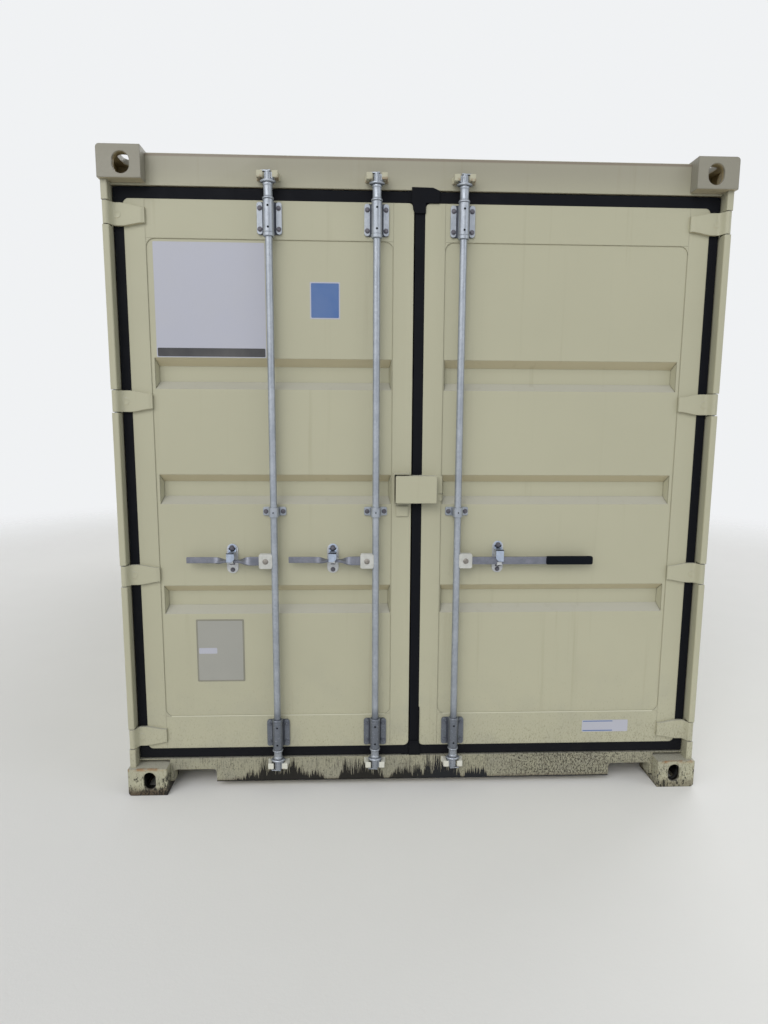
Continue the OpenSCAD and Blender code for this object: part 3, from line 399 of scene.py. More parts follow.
finishes = dict(
    frame=makePaint("framePaint", grime=0.45, dulled=0.85),
    casting=makePaint("castingPaint", edge=0.006, grime=0.6, rust=0.8, cast=1.0, hole="low"),
    topCasting=makePaint("topCastingPaint", tone="dull", edge=0.006, cast=0.8, hole="high"),
    sill=makePaint("sillPaint", grime=0.8, drips=True),
    wall=makePaint("wallPaint", edge=0.008, grime=0.3),
    door=makePaint("doorPaint", edge=0.005, grime=0.45, dulled=0.30),
    keeper=makeKeeper("keeperPaint"),
    zinc=makeZinc("zinc", slate=0.9),
    cam=makeZinc("camZinc", grime=0.5),
    hub=makeZinc("paleZinc", (0.57, 0.575, 0.545, 1), (0.47, 0.475, 0.445, 1), 0.30, 0.5),
    retainer=makeZinc("brightZinc", (0.60, 0.61, 0.61, 1), (0.45, 0.465, 0.48, 1), 0.5, 0.42),
    steel=makeZinc("darkSteel", (0.215, 0.225, 0.265, 1), (0.15, 0.16, 0.195, 1), 0.6, 0.42),
    # the bracket plates are dark: worn steel, slate grey near the ground, and painted shade where they show
    # between the strips and the sleeve
    bed=makeZinc("bedSteelAndShade", (0.085, 0.095, 0.12, 1), (0.05, 0.055, 0.07, 1), 0.5, 0.55, slate=0.4),
    catch=makeZinc("blueZinc", (0.50, 0.57, 0.70, 1), (0.36, 0.42, 0.52, 1), 0.8, 0.33),
    bolt=makeZinc("boltSteel", (0.17, 0.165, 0.19, 1), (0.09, 0.088, 0.105, 1), 0.5, 0.5, slate=0.9),
    hubBolt=makeZinc("wornBolt", (0.33, 0.31, 0.28, 1), (0.20, 0.185, 0.165, 1), 0.3, 0.5),
    seal=makeRubber("sealRubber", "seal"),
    grip=makeRubber("gripRubber", "grip", 0.10, 0.5),
    wood=makeWood("floorWood"),
    sheet=makeVinyl("whiteSheet", (0.430, 0.441, 0.515, 1)),
    blueLabel=makeVinyl("blueLabel", (0.035, 0.115, 0.33, 1)),
    # the pale bead at the panel's foot is lighter than the paint: a painted highlight
    sealantHighlight=makeVinyl("paleSealantHighlight", (0.56, 0.555, 0.43, 1)),
    plate=makeVinyl("greyPlate", (0.31, 0.31, 0.28, 1)),
    plateRim=makeVinyl("plateRim", (0.215, 0.21, 0.165, 1)),
    darkBand=makeVinyl("darkBand", (0.022, 0.022, 0.026, 1)),
)
print("finishes made:", len(finishes))


# ---- mesh helpers
def newPiece(name, body, finish, bm, bevel=None, replaces=(), sharp=35):
    bmesh.ops.recalc_face_normals(bm, faces=bm.faces[:])
    mesh = bpy.data.meshes.new(name)
    bm.to_mesh(mesh)
    bm.free()
    mesh.shade_smooth()
    mesh.set_sharp_from_angle(angle=math.radians(sharp))
    mesh.materials.append(finishes[finish])
    piece = bpy.data.objects.new(name, mesh)
    bpy.context.scene.collection.objects.link(piece)
    if bevel:
        softener = piece.modifiers.new("softEdges", "BEVEL")
        softener.width, softener.segments = bevel, 2
        softener.limit_method, softener.angle_limit = "ANGLE", math.radians(40)
        softener.harden_normals = True
    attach(piece, body)
    if replaces:
        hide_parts(*replaces)


def move(bm, place, before=()):
    # moves what was made after the set of vertices in before
    bmesh.ops.transform(bm, matrix=place, verts=[v for v in bm.verts if v not in before])


def slab(bm, low, high):
    low, high = Vector(low), Vector(high)
    place = Matrix.Translation((low + high) / 2) @ Matrix.Diagonal((*(high - low), 1))
    return bmesh.ops.create_cube(bm, size=1, matrix=place)["verts"]


def roundEdges(bm, verts, axis, radius, segments=5):
    edges = {e for v in verts for e in v.link_edges}
    along = [e for e in edges if abs((e.verts[0].co - e.verts[1].co).normalized()[axis]) > 0.99]
    bmesh.ops.bevel(bm, geom=along, offset=radius, segments=segments, profile=0.5,
                    affect="EDGES", material=-1, clamp_overlap=True)


def roundSlab(bm, low, high, axis, radius, segments=5):
    roundEdges(bm, slab(bm, low, high), axis, radius, segments)


def drawOut(bm, corners, step):
    # a flat face that is drawn out into a solid
    face = bm.faces.new([bm.verts.new(corner) for corner in corners])
    grown = bmesh.ops.extrude_face_region(bm, geom=[face])["geom"]
    bmesh.ops.translate(bm, vec=step, verts=[g for g in grown if isinstance(g, bmesh.types.BMVert)])


def cutAcross(bm, xs):
    for x in xs:
        bmesh.ops.bisect_plane(bm, geom=bm.verts[:] + bm.edges[:] + bm.faces[:], plane_co=(x, 0, 0),
                               plane_no=(1, 0, 0))


def turned(bm, outline, place, steps=40):
    # outline: (radius, height) pairs about the local Z axis, put in place by a matrix
    old = set(bm.verts)
    verts = [bm.verts.new((r, 0, h)) for r, h in outline]
    edges = [bm.edges.new(pair) for pair in zip(verts, verts[1:])]
    bmesh.ops.spin(bm, geom=verts + edges, cent=(0, 0, 0), axis=(0, 0, 1), dvec=(0, 0, 0),
                   angle=2 * math.pi, steps=steps, use_merge=True, use_duplicate=False)
    bmesh.ops.remove_doubles(bm, verts=[v for v in bm.verts if v not in old], dist=1e-6)
    new = [v for v in bm.verts if v not in old]
    bmesh.ops.recalc_face_normals(bm, faces=list({f for v in new for f in v.link_faces}))
    bmesh.ops.transform(bm, matrix=place, verts=new)
    return new


def pillar(bm, radius, low, high, place, chamfer=0.001, steps=40):
    turned(bm, [(0, low), (radius - chamfer, low), (radius, low + chamfer),
                (radius, high - chamfer), (radius - chamfer, high), (0, high)], place, steps)


still = Matrix.Identity(4)
facing = Matrix.Rotation(math.pi / 2, 4, "X")  # local Z points out of the doors, towards -Y


def bolt(bm, place, radius, height):
    # a six-sided head on its washer; place is the point where it meets the steel
    base = Matrix.Translation(place) @ facing
    pillar(bm, radius * 1.45, 0, height * 0.25, base, 0.0004, 24)
    bmesh.ops.create_cone(bm, cap_ends=True, segments=6, radius1=radius, radius2=radius * 0.9,
                          depth=height, matrix=base @ Matrix.Translation((0, 0, height / 2)))


def bead(bm, start, end, radius, pitch=0.7):
    # weld bead: a row of drops
    start, end = Vector(start), Vector(end)
    count = max(2, int((end - start).length / (radius * pitch)))
    for step in range(count + 1):
        point = start.lerp(end, step / count)
        bmesh.ops.create_icosphere(bm, subdivisions=1, radius=radius, matrix=Matrix.Translation(point))


def smooth(value):
    value = max(0.0, min(1.0, value))
    return value * value * (3 - 2 * value)


# ---- lock gear
gear = dict(axis=0.023, rodRadius=0.014, sillTop=0.136, headerEdge=2.465, camRise=0.017, leafFace=0.058,
            panelFace=0.061, rodEnd=0.053, sleeve=0.020, guideZ=1.211, handleZ=1.009, pivotOut=0.036)
rods = (dict(n=1, x=-0.590, side=1, door="left_door", brackets=("left_rod_brackets",),
             retainers=("left_handle_retainers",)),
        dict(n=2, x=-0.176, side=1, door="left_door", brackets=(), retainers=()),
        dict(n=3, x=0.160, side=-1, door="right_door", brackets=("right_rod_brackets",),
             retainers=("right_handle_retainer",)))
axisY = deep(gear["axis"])
leafFace, panelFace = (gear[face] - gear["axis"] for face in ("leafFace", "panelFace"))  # behind the axis
frameEnds = (dict(z=gear["sillTop"], up=-1, rise=0.0, top=0.0345),
             dict(z=gear["headerEdge"], up=1, rise=gear["camRise"], top=0.0270))


def frameEdge(rod, end):
    # local frame at a rod end: X away from the rod's handle, Z past the frame's edge
    place = Matrix.Translation((rod["x"], axisY, end["z"]))
    return place @ Matrix.Diagonal((rod["side"], 1, end["up"], 1))


def besideRod(rod, out):
    # local frame at the height of the handles: X towards the rod
    place = Matrix.Translation((rod["x"] - rod["side"] * out, axisY, gear["handleZ"]))
    return place @ Matrix.Diagonal((rod["side"], 1, 1, 1))


def makeRod(rod):
    bm = bmesh.new()
    pillar(bm, gear["rodRadius"], gear["sillTop"] + gear["rodEnd"], gear["headerEdge"] - gear["rodEnd"],
           Matrix.Translation((rod["x"], axisY, 0)))
    newPiece("lockRod%d" % rod["n"], "rod_%d" % rod["n"], "zinc", bm,
             replaces=("lock_rod_%d" % rod["n"],))


hubShape = dict(out=0.063, near=0.008, thick=0.026, tall=0.061, slot=0.012, web=0.018, round=0.008,
                nut=0.006, nutTall=0.012, pin=0.0058, pinReach=0.02,
                head=((0, 0), (0.0115, 0), (0.0115, 0.001), (0.0095, 0.0035), (0.005, 0.005), (0, 0.0053)))


def makeHub(rod):
    # two cheeks with a web between them, and the bolt through them
    h, s, z, bm = hubShape, rod["side"], gear["handleZ"], bmesh.new()
    half, slot, thick = h["tall"] / 2, h["slot"] / 2, h["thick"] / 2
    xs = sorted((rod["x"] - s * h["out"], rod["x"] - s * h["near"]))
    for low, high in ((-thick, -slot), (slot, thick)):
        roundSlab(bm, (xs[0], axisY + low, z - half), (xs[1], axisY + high, z + half), 1, h["round"])
    xs = sorted((rod["x"] - s * h["web"], rod["x"] - s * h["near"]))
    slab(bm, (xs[0], axisY - slot, z - half + 0.002), (xs[1], axisY + slot, z + half - 0.002))
    newPiece("handleHub%d" % rod["n"], "rod_%d" % rod["n"], "hub", bm, bevel=0.0012)
    bm = bmesh.new()
    front, middle, back = (Matrix.Translation((rod["x"] - s * gear["pivotOut"], axisY + y, z)) @ facing
                           for y in (-thick, 0, thick))
    turned(bm, h["head"], front, 28)
    pillar(bm, h["nut"], -h["nutTall"], 0, back, 0.0006, 24)
    pillar(bm, h["pin"], -h["pinReach"], h["pinReach"], middle, 0.0006, 24)
    newPiece("hubBolt%d" % rod["n"], "rod_%d" % rod["n"], "hubBolt", bm)


camShape = dict(ring=0.022, ringLow=-0.053, ringHigh=-0.045, shank=0.0168, bulge=0.0185, flangeLow=-0.010,
                flangeHigh=-0.002, flangeX=0.0300, flangeY=0.0228, pointed=0.35, post=0.0146, lugLow=0.002,
                lug=0.0240, ribOut=0.0163, ribAt=0.0095, horn=0.0285, hornLow=0.0015, hornHigh=0.0062,
                hornFlare=1.6)


def camBody(low):
    # outline of the forging from its ring up to the flange
    c = camShape
    ring, foot, crown, shank, bulge = c["ring"], c["ringLow"], c["ringHigh"], c["shank"], c["bulge"]
    return [(0, foot), (ring - 0.0015, foot), (ring, foot + 0.0015), (ring, crown - 0.0025),
            (shank + 0.001, crown + 0.0015), (shank, crown + 0.005), (shank, low - 0.013),
            (bulge - 0.0005, low - 0.0115), (bulge, low - 0.009), (bulge, low - 0.004), (shank, low - 0.001),
            (0, low)]


def makeCams(rod):
    c, bm = camShape, bmesh.new()
    for end in frameEnds:
        old = set(bm.verts)
        low, high, top = (value + end["rise"] for value in (c["flangeLow"], c["flangeHigh"], end["top"]))
        turned(bm, camBody(low), still)
        # pointed oval flange
        wide, post = c["flangeX"], c["post"]
        outline = [(0, low - 0.0003), (wide - 0.003, low), (wide, low + 0.003), (wide, high - 0.002),
                   (wide - 0.0015, high), (0, high + 0.0002)]
        for v in turned(bm, outline, still, 44):
            v.co.y *= c["flangeY"] / wide * (1 - c["pointed"] * min(1.0, abs(v.co.x) / wide) ** 3)
        turned(bm, [(0, high), (post + 0.003, high), (post + 0.001, high + 0.0015), (post, high + 0.005),
                    (post, top - 0.004), (post - 0.001, top - 0.001), (post - 0.004, top), (0, top)], still)
        roundSlab(bm, (0.008, -0.008, c["lugLow"] + end["rise"]), (c["lug"], 0.008, top - 0.001), 2, 0.003, 3)
        roundSlab(bm, (-0.0042, -c["ribOut"], high), (0.0042, -0.010, top - 0.003), 2, 0.0012, 2)
        for x in (-c["ribAt"], c["ribAt"]):
            roundSlab(bm, (x - 0.0012, -0.0135, high), (x + 0.0012, -0.008, top - 0.004), 2, 0.0008, 2)
        # claw that reaches over the keeper
        horn = slab(bm, (-c["horn"], -0.008, top + c["hornLow"]), (0.012, 0.004, top + c["hornHigh"]))
        for v in horn:
            v.co.y *= 1.0 if v.co.x < 0 else c["hornFlare"]
        roundEdges(bm, horn, 2, 0.003, 3)
        pillar(bm, post - 0.002, top - 0.002, top + 0.0055, still, 0.0015, 32)
        move(bm, frameEdge(rod, end), old)
    newPiece("rodCams%d" % rod["n"], "rod_%d" % rod["n"], "cam", bm, bevel=0.0008,
             replaces=("cams_%d" % rod["n"],))


keeperShape = dict(mouth=0.0175, inner=0.026, outer=0.041, foot=0.047, front=0.018, lip=0.012, low=0.004,
                   high=0.030, frame=0.031, slope=0.010)


def makeKeepers():
    # two ears either side of each cam; each has a lip in front and a wider foot on the frame
    k, bm = keeperShape, bmesh.new()
    points = ((k["mouth"], -k["front"]), (k["outer"], -k["front"]), (k["outer"], k["frame"] - k["slope"]),
              (k["foot"], k["frame"]), (k["inner"], k["frame"]), (k["inner"], -k["lip"]),
              (k["mouth"], -k["lip"]))
    for rod in rods:
        for end in frameEnds:
            old, low = set(bm.verts), k["low"] + end["rise"]
            for side in (-1, 1):
                drawOut(bm, [(side * x, y, low) for x, y in points], (0, 0, k["high"] - k["low"]))
            move(bm, frameEdge(rod, end), old)
    newPiece("keeperEars", "container", "keeper", bm, bevel=0.0028,
             replaces=("cam_keepers",))


bracketShape = dict(wide=0.0925, low=-0.174, high=-0.054, plate=0.004, corner=0.010, sleeveLow=-0.188,
                    sleeveHigh=-0.054, lip=0.013, strip=0.0220, stripAt=0.0370, stripTall=0.009,
                    boltUp=(-0.077, -0.1545), boltOut=0.0360, boltRadius=0.0068, boltTall=0.005,
                    holes=(-0.079, -0.1565), hole=0.0042)
guideShape = dict(wide=0.095, half=0.018, thick=0.005, corner=0.007, ear=0.024, earAt=0.034, earTall=0.009,
                  boltOut=0.035)


def makeSleeve(bm, low, high, back, lip=0.0):
    # tube round the rod with cheeks down to the plate; a lip is a turned ring at its inner end
    r, bore = gear["sleeve"], gear["rodRadius"] + 0.0005
    outline = [(bore, high), (r - 0.001, high), (r, high - 0.001)]
    if lip:
        outline += [(r, low + lip + 0.003), (r - 0.0012, low + lip + 0.0015), (r + 0.0012, low + lip),
                    (r + 0.0014, low + 0.002), (r, low)]
    else:
        outline += [(r, low + 0.001), (r - 0.001, low)]
    turned(bm, outline + [(bore, low), (bore, high)], still)
    for side in (-1, 1):
        xs = sorted((side * (r - 0.004), side * (r - 0.0005)))
        slab(bm, (xs[0], 0.004, low + lip + 0.001), (xs[1], back - 0.001, high - 0.001))


def greaseHoleShade(bm, place, up, radius, sunk):
    # a black disc on the sleeve: painted shade that stands for a grease hole
    spot = place @ Matrix.Translation((0, -gear["sleeve"], up)) @ facing
    pillar(bm, radius, -sunk, 0.0002, spot, 0.0001, 24)


def makeBrackets(rod):
    b, g = bracketShape, guideShape
    bm, bed, dark, holes = (bmesh.new() for _ in range(4))
    half, strip, head = b["wide"] / 2, b["strip"] / 2, (b["boltRadius"], b["boltTall"])
    for end in frameEnds:
        place = frameEdge(rod, end)
        marks = [(mesh, set(mesh.verts)) for mesh in (bm, bed, dark)]
        # the plate is dark steel, partly painted shade where it shows between the strips and the sleeve
        roundSlab(bed, (-half, leafFace - b["plate"], b["low"]), (half, leafFace, b["high"]), 1, b["corner"])
        for side in (-1, 1):
            x = side * b["stripAt"]
            roundSlab(bm, (x - strip, leafFace - b["stripTall"], b["low"] + 0.0005),
                      (x + strip, leafFace - b["plate"] / 2, b["high"] - 0.0005), 1, strip - 0.0005, 7)
            for up in b["boltUp"]:
                bolt(dark, (side * b["boltOut"], leafFace - b["stripTall"], up), *head)
        makeSleeve(bm, b["sleeveLow"], b["sleeveHigh"], leafFace, b["lip"])
        for up in b["holes"]:
            greaseHoleShade(holes, place, up, b["hole"], 0.0006)
        for mesh, old in marks:
            move(mesh, place, old)
    # the middle guide sits on the panel
    half, high, ear, old = g["wide"] / 2, g["half"], g["ear"] / 2, set(bm.verts)
    place = Matrix.Translation((rod["x"], axisY, gear["guideZ"]))
    roundSlab(bm, (-half, panelFace - g["thick"], -high), (half, panelFace, high), 1, g["corner"])
    for side in (-1, 1):
        x = side * g["earAt"]
        roundSlab(bm, (x - ear, panelFace - g["earTall"], -high + 0.002),
                  (x + ear, panelFace - 0.004, high - 0.002), 1, 0.004)
        bolt(dark, place @ Vector((side * g["boltOut"], panelFace - g["earTall"], 0)), *head)
    makeSleeve(bm, -high - 0.002, high + 0.002, panelFace)
    move(bm, place, old)
    greaseHoleShade(holes, place, 0, b["hole"] * 0.7, 0.0004)
    newPiece("rodBrackets%d" % rod["n"], rod["door"], "zinc", bm, bevel=0.0008,
             replaces=rod["brackets"])
    newPiece("bracketPlates%d" % rod["n"], rod["door"], "bed", bed, bevel=0.0008)
    newPiece("bracketBolts%d" % rod["n"], rod["door"], "bolt", dark, bevel=0.0005)
    newPiece("greaseHoleShades%d" % rod["n"], rod["door"], "grip", holes)


# tall and thick are the bar's measures where the retainer holds it
handles = {1: dict(length=0.321, tall=0.011, thick=0.016), 2: dict(length=0.321, tall=0.011, thick=0.016),
           3: dict(length=0.534, tall=0.032, thick=0.010)}
barShape = dict(thick=0.010, past=0.008, stations=64, held=0.141, root=0.036, twist=0.028, waist=0.017,
                tip=0.025, lift=0.005, turnFrom=0.055, turnTo=0.111, backFrom=0.161, backOver=0.060,
                neck=0.015, neckFade=0.020, liftFrom=0.151, liftOver=0.08)


def makeTwistedHandle(rod):
    # flat bar on edge that is twisted flat where the retainer holds it
    b, length, bm = barShape, handles[rod["n"]]["length"], bmesh.new()
    slab(bm, (-length, -b["thick"] / 2, -0.5), (b["past"], b["thick"] / 2, 0.5))
    steps = range(1, b["stations"])
    cutAcross(bm, [-length + (length + b["past"]) * step / b["stations"] for step in steps])
    for v in bm.verts:
        out = -v.co.x
        into = smooth((out - b["turnFrom"]) / (b["turnTo"] - b["turnFrom"]))
        away = smooth((out - b["backFrom"]) / b["backOver"])
        turn = math.radians(90) * into * (1 - away)
        if out < b["held"]:
            tall = b["root"] + (b["twist"] - b["root"]) * into
        else:
            tall = b["twist"] + (b["tip"] - b["twist"]) * away
        # the retainer's cradle holds a narrower neck
        pinch = 1 - smooth((abs(out - b["held"]) - b["neck"]) / b["neckFade"])
        tall += (b["waist"] - tall) * pinch
        lift = b["lift"] * smooth((out - b["liftFrom"]) / b["liftOver"])
        upright, across = v.co.z * tall, v.co.y
        v.co.z = upright * math.cos(turn) - across * math.sin(turn) + lift
        v.co.y = upright * math.sin(turn) + across * math.cos(turn)
    move(bm, besideRod(rod, gear["pivotOut"]))
    newPiece("handle%d" % rod["n"], "handle_%d" % rod["n"], "steel", bm, bevel=0.0016,
             replaces=("handle_%d" % rod["n"],), sharp=50)


longShape = dict(bar=(0.010, 0.031), barCorner=0.004, past=0.010, grip=(0.015, 0.035), gripLong=0.197,
                 gripCorner=0.008)


def makeLongHandle(rod):
    b, length = longShape, handles[rod["n"]]["length"]
    thick, tall = (size / 2 for size in b["bar"])
    bm = bmesh.new()
    roundSlab(bm, (-length + 0.01, -thick, -tall), (b["past"], thick, tall), 1, b["barCorner"])
    move(bm, besideRod(rod, gear["pivotOut"]))
    newPiece("handle3", "handle_3", "steel", bm, bevel=0.001, replaces=("handle_3",))
    thick, tall = (size / 2 for size in b["grip"])
    bm = bmesh.new()
    roundSlab(bm, (-length, -thick, -tall), (-length + b["gripLong"], thick, tall), 1, b["gripCorner"], 6)
    move(bm, besideRod(rod, gear["pivotOut"]))
    newPiece("handleGrip", "handle_3", "grip", bm, bevel=0.003,
             replaces=("handle_grip",))


retainerShape = dict(out=0.177, wide=0.047, low=-0.058, sheet=0.004, lip=0.012, cradle=0.020, shelfUp=0.027,
                     boltUp=0.018, topUp=0.0155, boltLow=-0.043, lowBolt=0.0068, topBolt=0.0075,
                     boltTall=0.006, catchWide=0.032, catchDrop={1: 0.034, 2: 0.034, 3: 0.045},
                     catchCorner=0.012)


def makeRetainer(rod):
    t, n = retainerShape, rod["n"]
    tall, thick, sheet = handles[n]["tall"], handles[n]["thick"], t["sheet"]
    plane = panelFace - sheet
    shelf = tall / 2 + t["shelfUp"]
    up = shelf + t["boltUp"]
    place = besideRod(rod, t["out"])
    bm = bmesh.new()
    half = t["wide"] / 2
    roundSlab(bm, (-half, plane, t["low"]), (half, panelFace, up + t["topUp"]), 1, half - 0.001, 9)
    front, low, half = -thick / 2 - 0.0015 - sheet, -tall / 2 - 0.0005, t["cradle"] / 2
    slab(bm, (-half, front, low - sheet), (half, plane, low))
    roundSlab(bm, (-half, front, low - sheet), (half, front + sheet, low + t["lip"]), 1, 0.003)
    move(bm, place)
    newPiece("retainer%d" % n, rod["door"], "retainer", bm, bevel=0.0008,
             replaces=rod["retainers"])
    # a dark slab of painted shade that stands for the slot the cradle was cut from, and the two bolts
    bm = bmesh.new()
    slab(bm, (-half, plane - 0.0003, low - sheet - 0.012), (half, plane + 0.001, low - sheet - 0.001))
    bolt(bm, (0, plane, t["boltLow"]), t["lowBolt"], t["boltTall"])
    bolt(bm, (0, plane - sheet - 0.001, up), t["topBolt"], t["boltTall"])
    move(bm, place)
    newPiece("retainerBolts%d" % n, rod["door"], "bolt", bm, bevel=0.0005)
    # the catch: eye, strip, shelf over the handle and hanging plate
    bm = bmesh.new()
    front, plane, half = -thick / 2 - 0.003 - 2 * sheet, plane - 0.0003, t["catchWide"] / 2
    pillar(bm, half, 0, sheet, Matrix.Translation((0, plane, up)) @ facing, 0.0006, 32)
    slab(bm, (-half, plane - sheet, shelf), (half, plane, up))
    slab(bm, (-half, front, shelf), (half, plane, shelf + sheet))
    hang = slab(bm, (-half, front, shelf - t["catchDrop"][n]), (half, front + sheet, shelf + sheet))
    corner = [e for e in {e for v in hang for e in v.link_edges}
              if all(v.co.z < shelf - 0.03 and v.co.x > 0 for v in e.verts)
              and abs(e.verts[0].co.y - e.verts[1].co.y) > 0.001]
    bmesh.ops.bevel(bm, geom=corner, offset=t["catchCorner"], segments=1, profile=0.5,
                    affect="EDGES", material=-1)
    move(bm, place)
    newPiece("handleCatch%d" % n, "catch_%d" % n, "catch", bm, bevel=0.001,
             replaces=("catch_%d" % n,))


for rod in rods:
    makeRod(rod)
    makeHub(rod)
    makeCams(rod)
    makeBrackets(rod)
    makeRetainer(rod)
    if rod["n"] < 3:
        makeTwistedHandle(rod)
    else:
        makeLongHandle(rod)
makeKeepers()
print("lock gear made")


# ---- hinges
leaves = (dict(name="Left", side=-1, body="left_door", hinges="left_door_hinges"),
          dict(name="Right", side=1, body="right_door", hinges="right_door_hinges"))
hingeShape = dict(pinX=1.201, pinDepth=0.0275, knuckle=0.0125, tall=0.084, tip=0.058, reach=0.137,
                  thick=0.013, rootThick=0.012, rootFlat=0.006, bend=0.022, taperFrom=0.045, tipLong=0.006,
                  tipStep=0.003, stations=24, rise=0.058, boss=0.034,
                  levels=(0.244, 0.9476667, 1.6523333, 2.356),
                  bossRing=((0, 0.0005), (0.0095, 0.0005), (0.0115, 0.0014), (0.0135, 0.0014), (0.0150, 0)))


def makeHinges(leaf):
    h, side, bm = hingeShape, leaf["side"], bmesh.new()
    back = h["rise"] - h["pinDepth"]
    for z in h["levels"]:
        old = set(bm.verts)
        pillar(bm, h["knuckle"], -h["tall"] / 2, h["tall"] / 2, still, 0.001, 32)
        # blade: a bar that is cut into stations, bent back over the seal and tapered to its tip
        slab(bm, (-h["reach"], 0, -0.5), (0, 1, 0.5))
        cutAcross(bm, [-h["reach"] * step / h["stations"] for step in range(1, h["stations"])])
        for v in [v for v in bm.verts if v not in old and abs(abs(v.co.z) - 0.5) < 1e-6]:
            out = -v.co.x
            fall = smooth((out - h["rootFlat"]) / h["bend"])
            frontFace = -h["knuckle"] + (back - h["thick"] + h["knuckle"]) * fall
            thick = h["rootThick"] + (h["thick"] - h["rootThick"]) * fall
            if out > h["reach"] - h["tipLong"]:
                frontFace += h["tipStep"]
                thick -= h["tipStep"]
            taper = smooth((out - h["taperFrom"]) / (h["reach"] - h["taperFrom"]))
            v.co.y = frontFace + thick * v.co.y
            v.co.z = math.copysign((h["tall"] + (h["tip"] - h["tall"]) * taper) / 2, v.co.z)
        turned(bm, h["bossRing"], Matrix.Translation((-h["boss"], back - h["thick"], 0)) @ facing, 32)
        pin = Matrix.Translation((h["pinX"] * side, deep(h["pinDepth"]), z))
        move(bm, pin @ Matrix.Diagonal((side, 1, 1, 1)), old)
    newPiece("hingeBlades" + leaf["name"], leaf["body"], "door", bm, bevel=0.003,
             replaces=(leaf["hinges"],), sharp=50)


for leaf in leaves:
    makeHinges(leaf)
print("hinges made")


# ---- flat pieces cut from sheet; points are (x, z) seen from the doors
def cutSheet(bm, points, near, far):
    drawOut(bm, [(x, deep(near), z) for x, z in points], (0, far - near, 0))


# the edge of a leaf's outer panel, with its inner side nearer the middle on the right leaf
panelEdge = dict(inner=dict(Left=0.110, Right=0.094), outer=1.066, low=0.326, high=2.274, radius=0.034,
                 depth=(0.058, 0.061), seam=(0.0575, 0.0605), seamLow=0.0025, seamHigh=0.0020,
                 seamPast=0.01)


def makePanelCorners(leaf):
    c, side, bm = panelEdge, leaf["side"], bmesh.new()
    r = c["radius"]
    for x, sx in ((c["inner"][leaf["name"]], 1), (c["outer"], -1)):
        for z, sz in ((c["low"], 1), (c["high"], -1)):
            turns = [math.radians(a) for a in range(0, 91, 9)]
            rim = [(side * (x + sx * (r - r * math.cos(a))), z + sz * (r - r * math.sin(a))) for a in turns]
            cutSheet(bm, [(side * x, z)] + rim, *c["depth"])
    newPiece("panelCorners" + leaf["name"], leaf["body"], "door", bm)


def makeSeam(leaf):
    # a pale bead along the foot of the panel, a caulk line drawn lighter than the paint as a painted
    # highlight where the ledge catches light
    c, side, bm = panelEdge, leaf["side"], bmesh.new()
    cut = c["radius"] - c["seamPast"]
    xs = sorted((side * (c["inner"][leaf["name"]] + cut), side * (c["outer"] - cut)))
    near, far = (deep(d) for d in c["seam"])
    roundSlab(bm, (xs[0], near, c["low"] - c["seamLow"]), (xs[1], far, c["low"] + c["seamHigh"]), 0, 0.001, 2)
    newPiece("panelSeam" + leaf["name"], leaf["body"], "sealantHighlight", bm)


for leaf in leaves:
    makePanelCorners(leaf)
    makeSeam(leaf)

# rubber patch over the top of the middle seal, its bevelled upper edge, and the flap at the seal's foot
sealPatch = dict(
    top=((-0.040, 2.4645), (-0.040, 2.420), (-0.036, 2.410), (-0.034, 2.395), (-0.030, 2.385),
         (-0.022, 2.380), (0.0155, 2.380), (0.0155, 2.4185), (0.069, 2.4185), (0.069, 2.4645)),
    edge=((-0.040, 2.476), (-0.040, 2.464), (0.069, 2.464), (0.042, 2.475)),
    flap=((-0.0275, 0.1375), (-0.0262, 0.203), (0.0125, 0.203), (0.0125, 0.359), (0.0150, 0.358),
          (0.0165, 0.354), (0.0165, 0.206), (0.0175, 0.190), (0.0205, 0.165), (0.0215, 0.1375)),
    near=0.0515, flapNear=0.0530, edgeFar=0.0539, far=0.0584)
# ends of the left door's own seal, behind the patches
sealEnd = dict(left=-0.060, right=-0.0270, near=0.0586, far=0.0640,
               heights=((0.1385, 0.200), (2.4195, 2.4635)))


def makeSealPatches():
    s, bm = sealPatch, bmesh.new()
    cutSheet(bm, s["top"], s["near"], s["far"])
    cutSheet(bm, s["edge"], s["near"], s["edgeFar"])
    cutSheet(bm, s["flap"], s["flapNear"], s["far"])
    newPiece("sealPatches", "right_door", "seal", bm, bevel=0.0012)
    s, bm = sealEnd, bmesh.new()
    left, right = s["left"], s["right"]
    for low, high in s["heights"]:
        cutSheet(bm, [(left, low), (left, high), (right, high), (right, low)], s["near"], s["far"])
    newPiece("sealEnds", "left_door", "seal", bm)


makeSealPatches()

# the lock box's side plate, weld beads and the drops on its top edge; bead points are (x, z)
lockBox = dict(right=0.071, plateRight=0.0985, low=1.2495, high=1.3605, plateDepth=(0.0535, 0.0582),
               corner=0.006, beads=(((0.0745, 1.262), (0.0745, 1.349)), ((0.0990, 1.272), (0.0990, 1.284)),
                                    ((0.0990, 1.284), (0.086, 1.2845))),
               beadRadius=0.0024, drops=(-0.021, -0.014, -0.008, 0.004, 0.011), dropRadius=0.0042,
               dropDepth=0.034, dropShape=(1.3, 1.1, 0.55, 1))


def makeLockBoxTrim():
    k, bm = lockBox, bmesh.new()
    near, far = (deep(d) for d in k["plateDepth"])
    roundSlab(bm, (k["right"] - 0.004, near, k["low"] + 0.004), (k["plateRight"], far, k["high"] - 0.003),
              1, k["corner"])
    for start, end in k["beads"]:
        bead(bm, (start[0], near, start[1]), (end[0], near, end[1]), k["beadRadius"])
    for x in k["drops"]:
        place = Matrix.Translation((x, deep(k["dropDepth"] + 0.5 * x), k["high"]))
        bmesh.ops.create_icosphere(bm, subdivisions=2, radius=k["dropRadius"],
                                   matrix=place @ Matrix.Diagonal(k["dropShape"]))
    newPiece("lockBoxTrim", "right_door", "door", bm, bevel=0.0008)


makeLockBoxTrim()

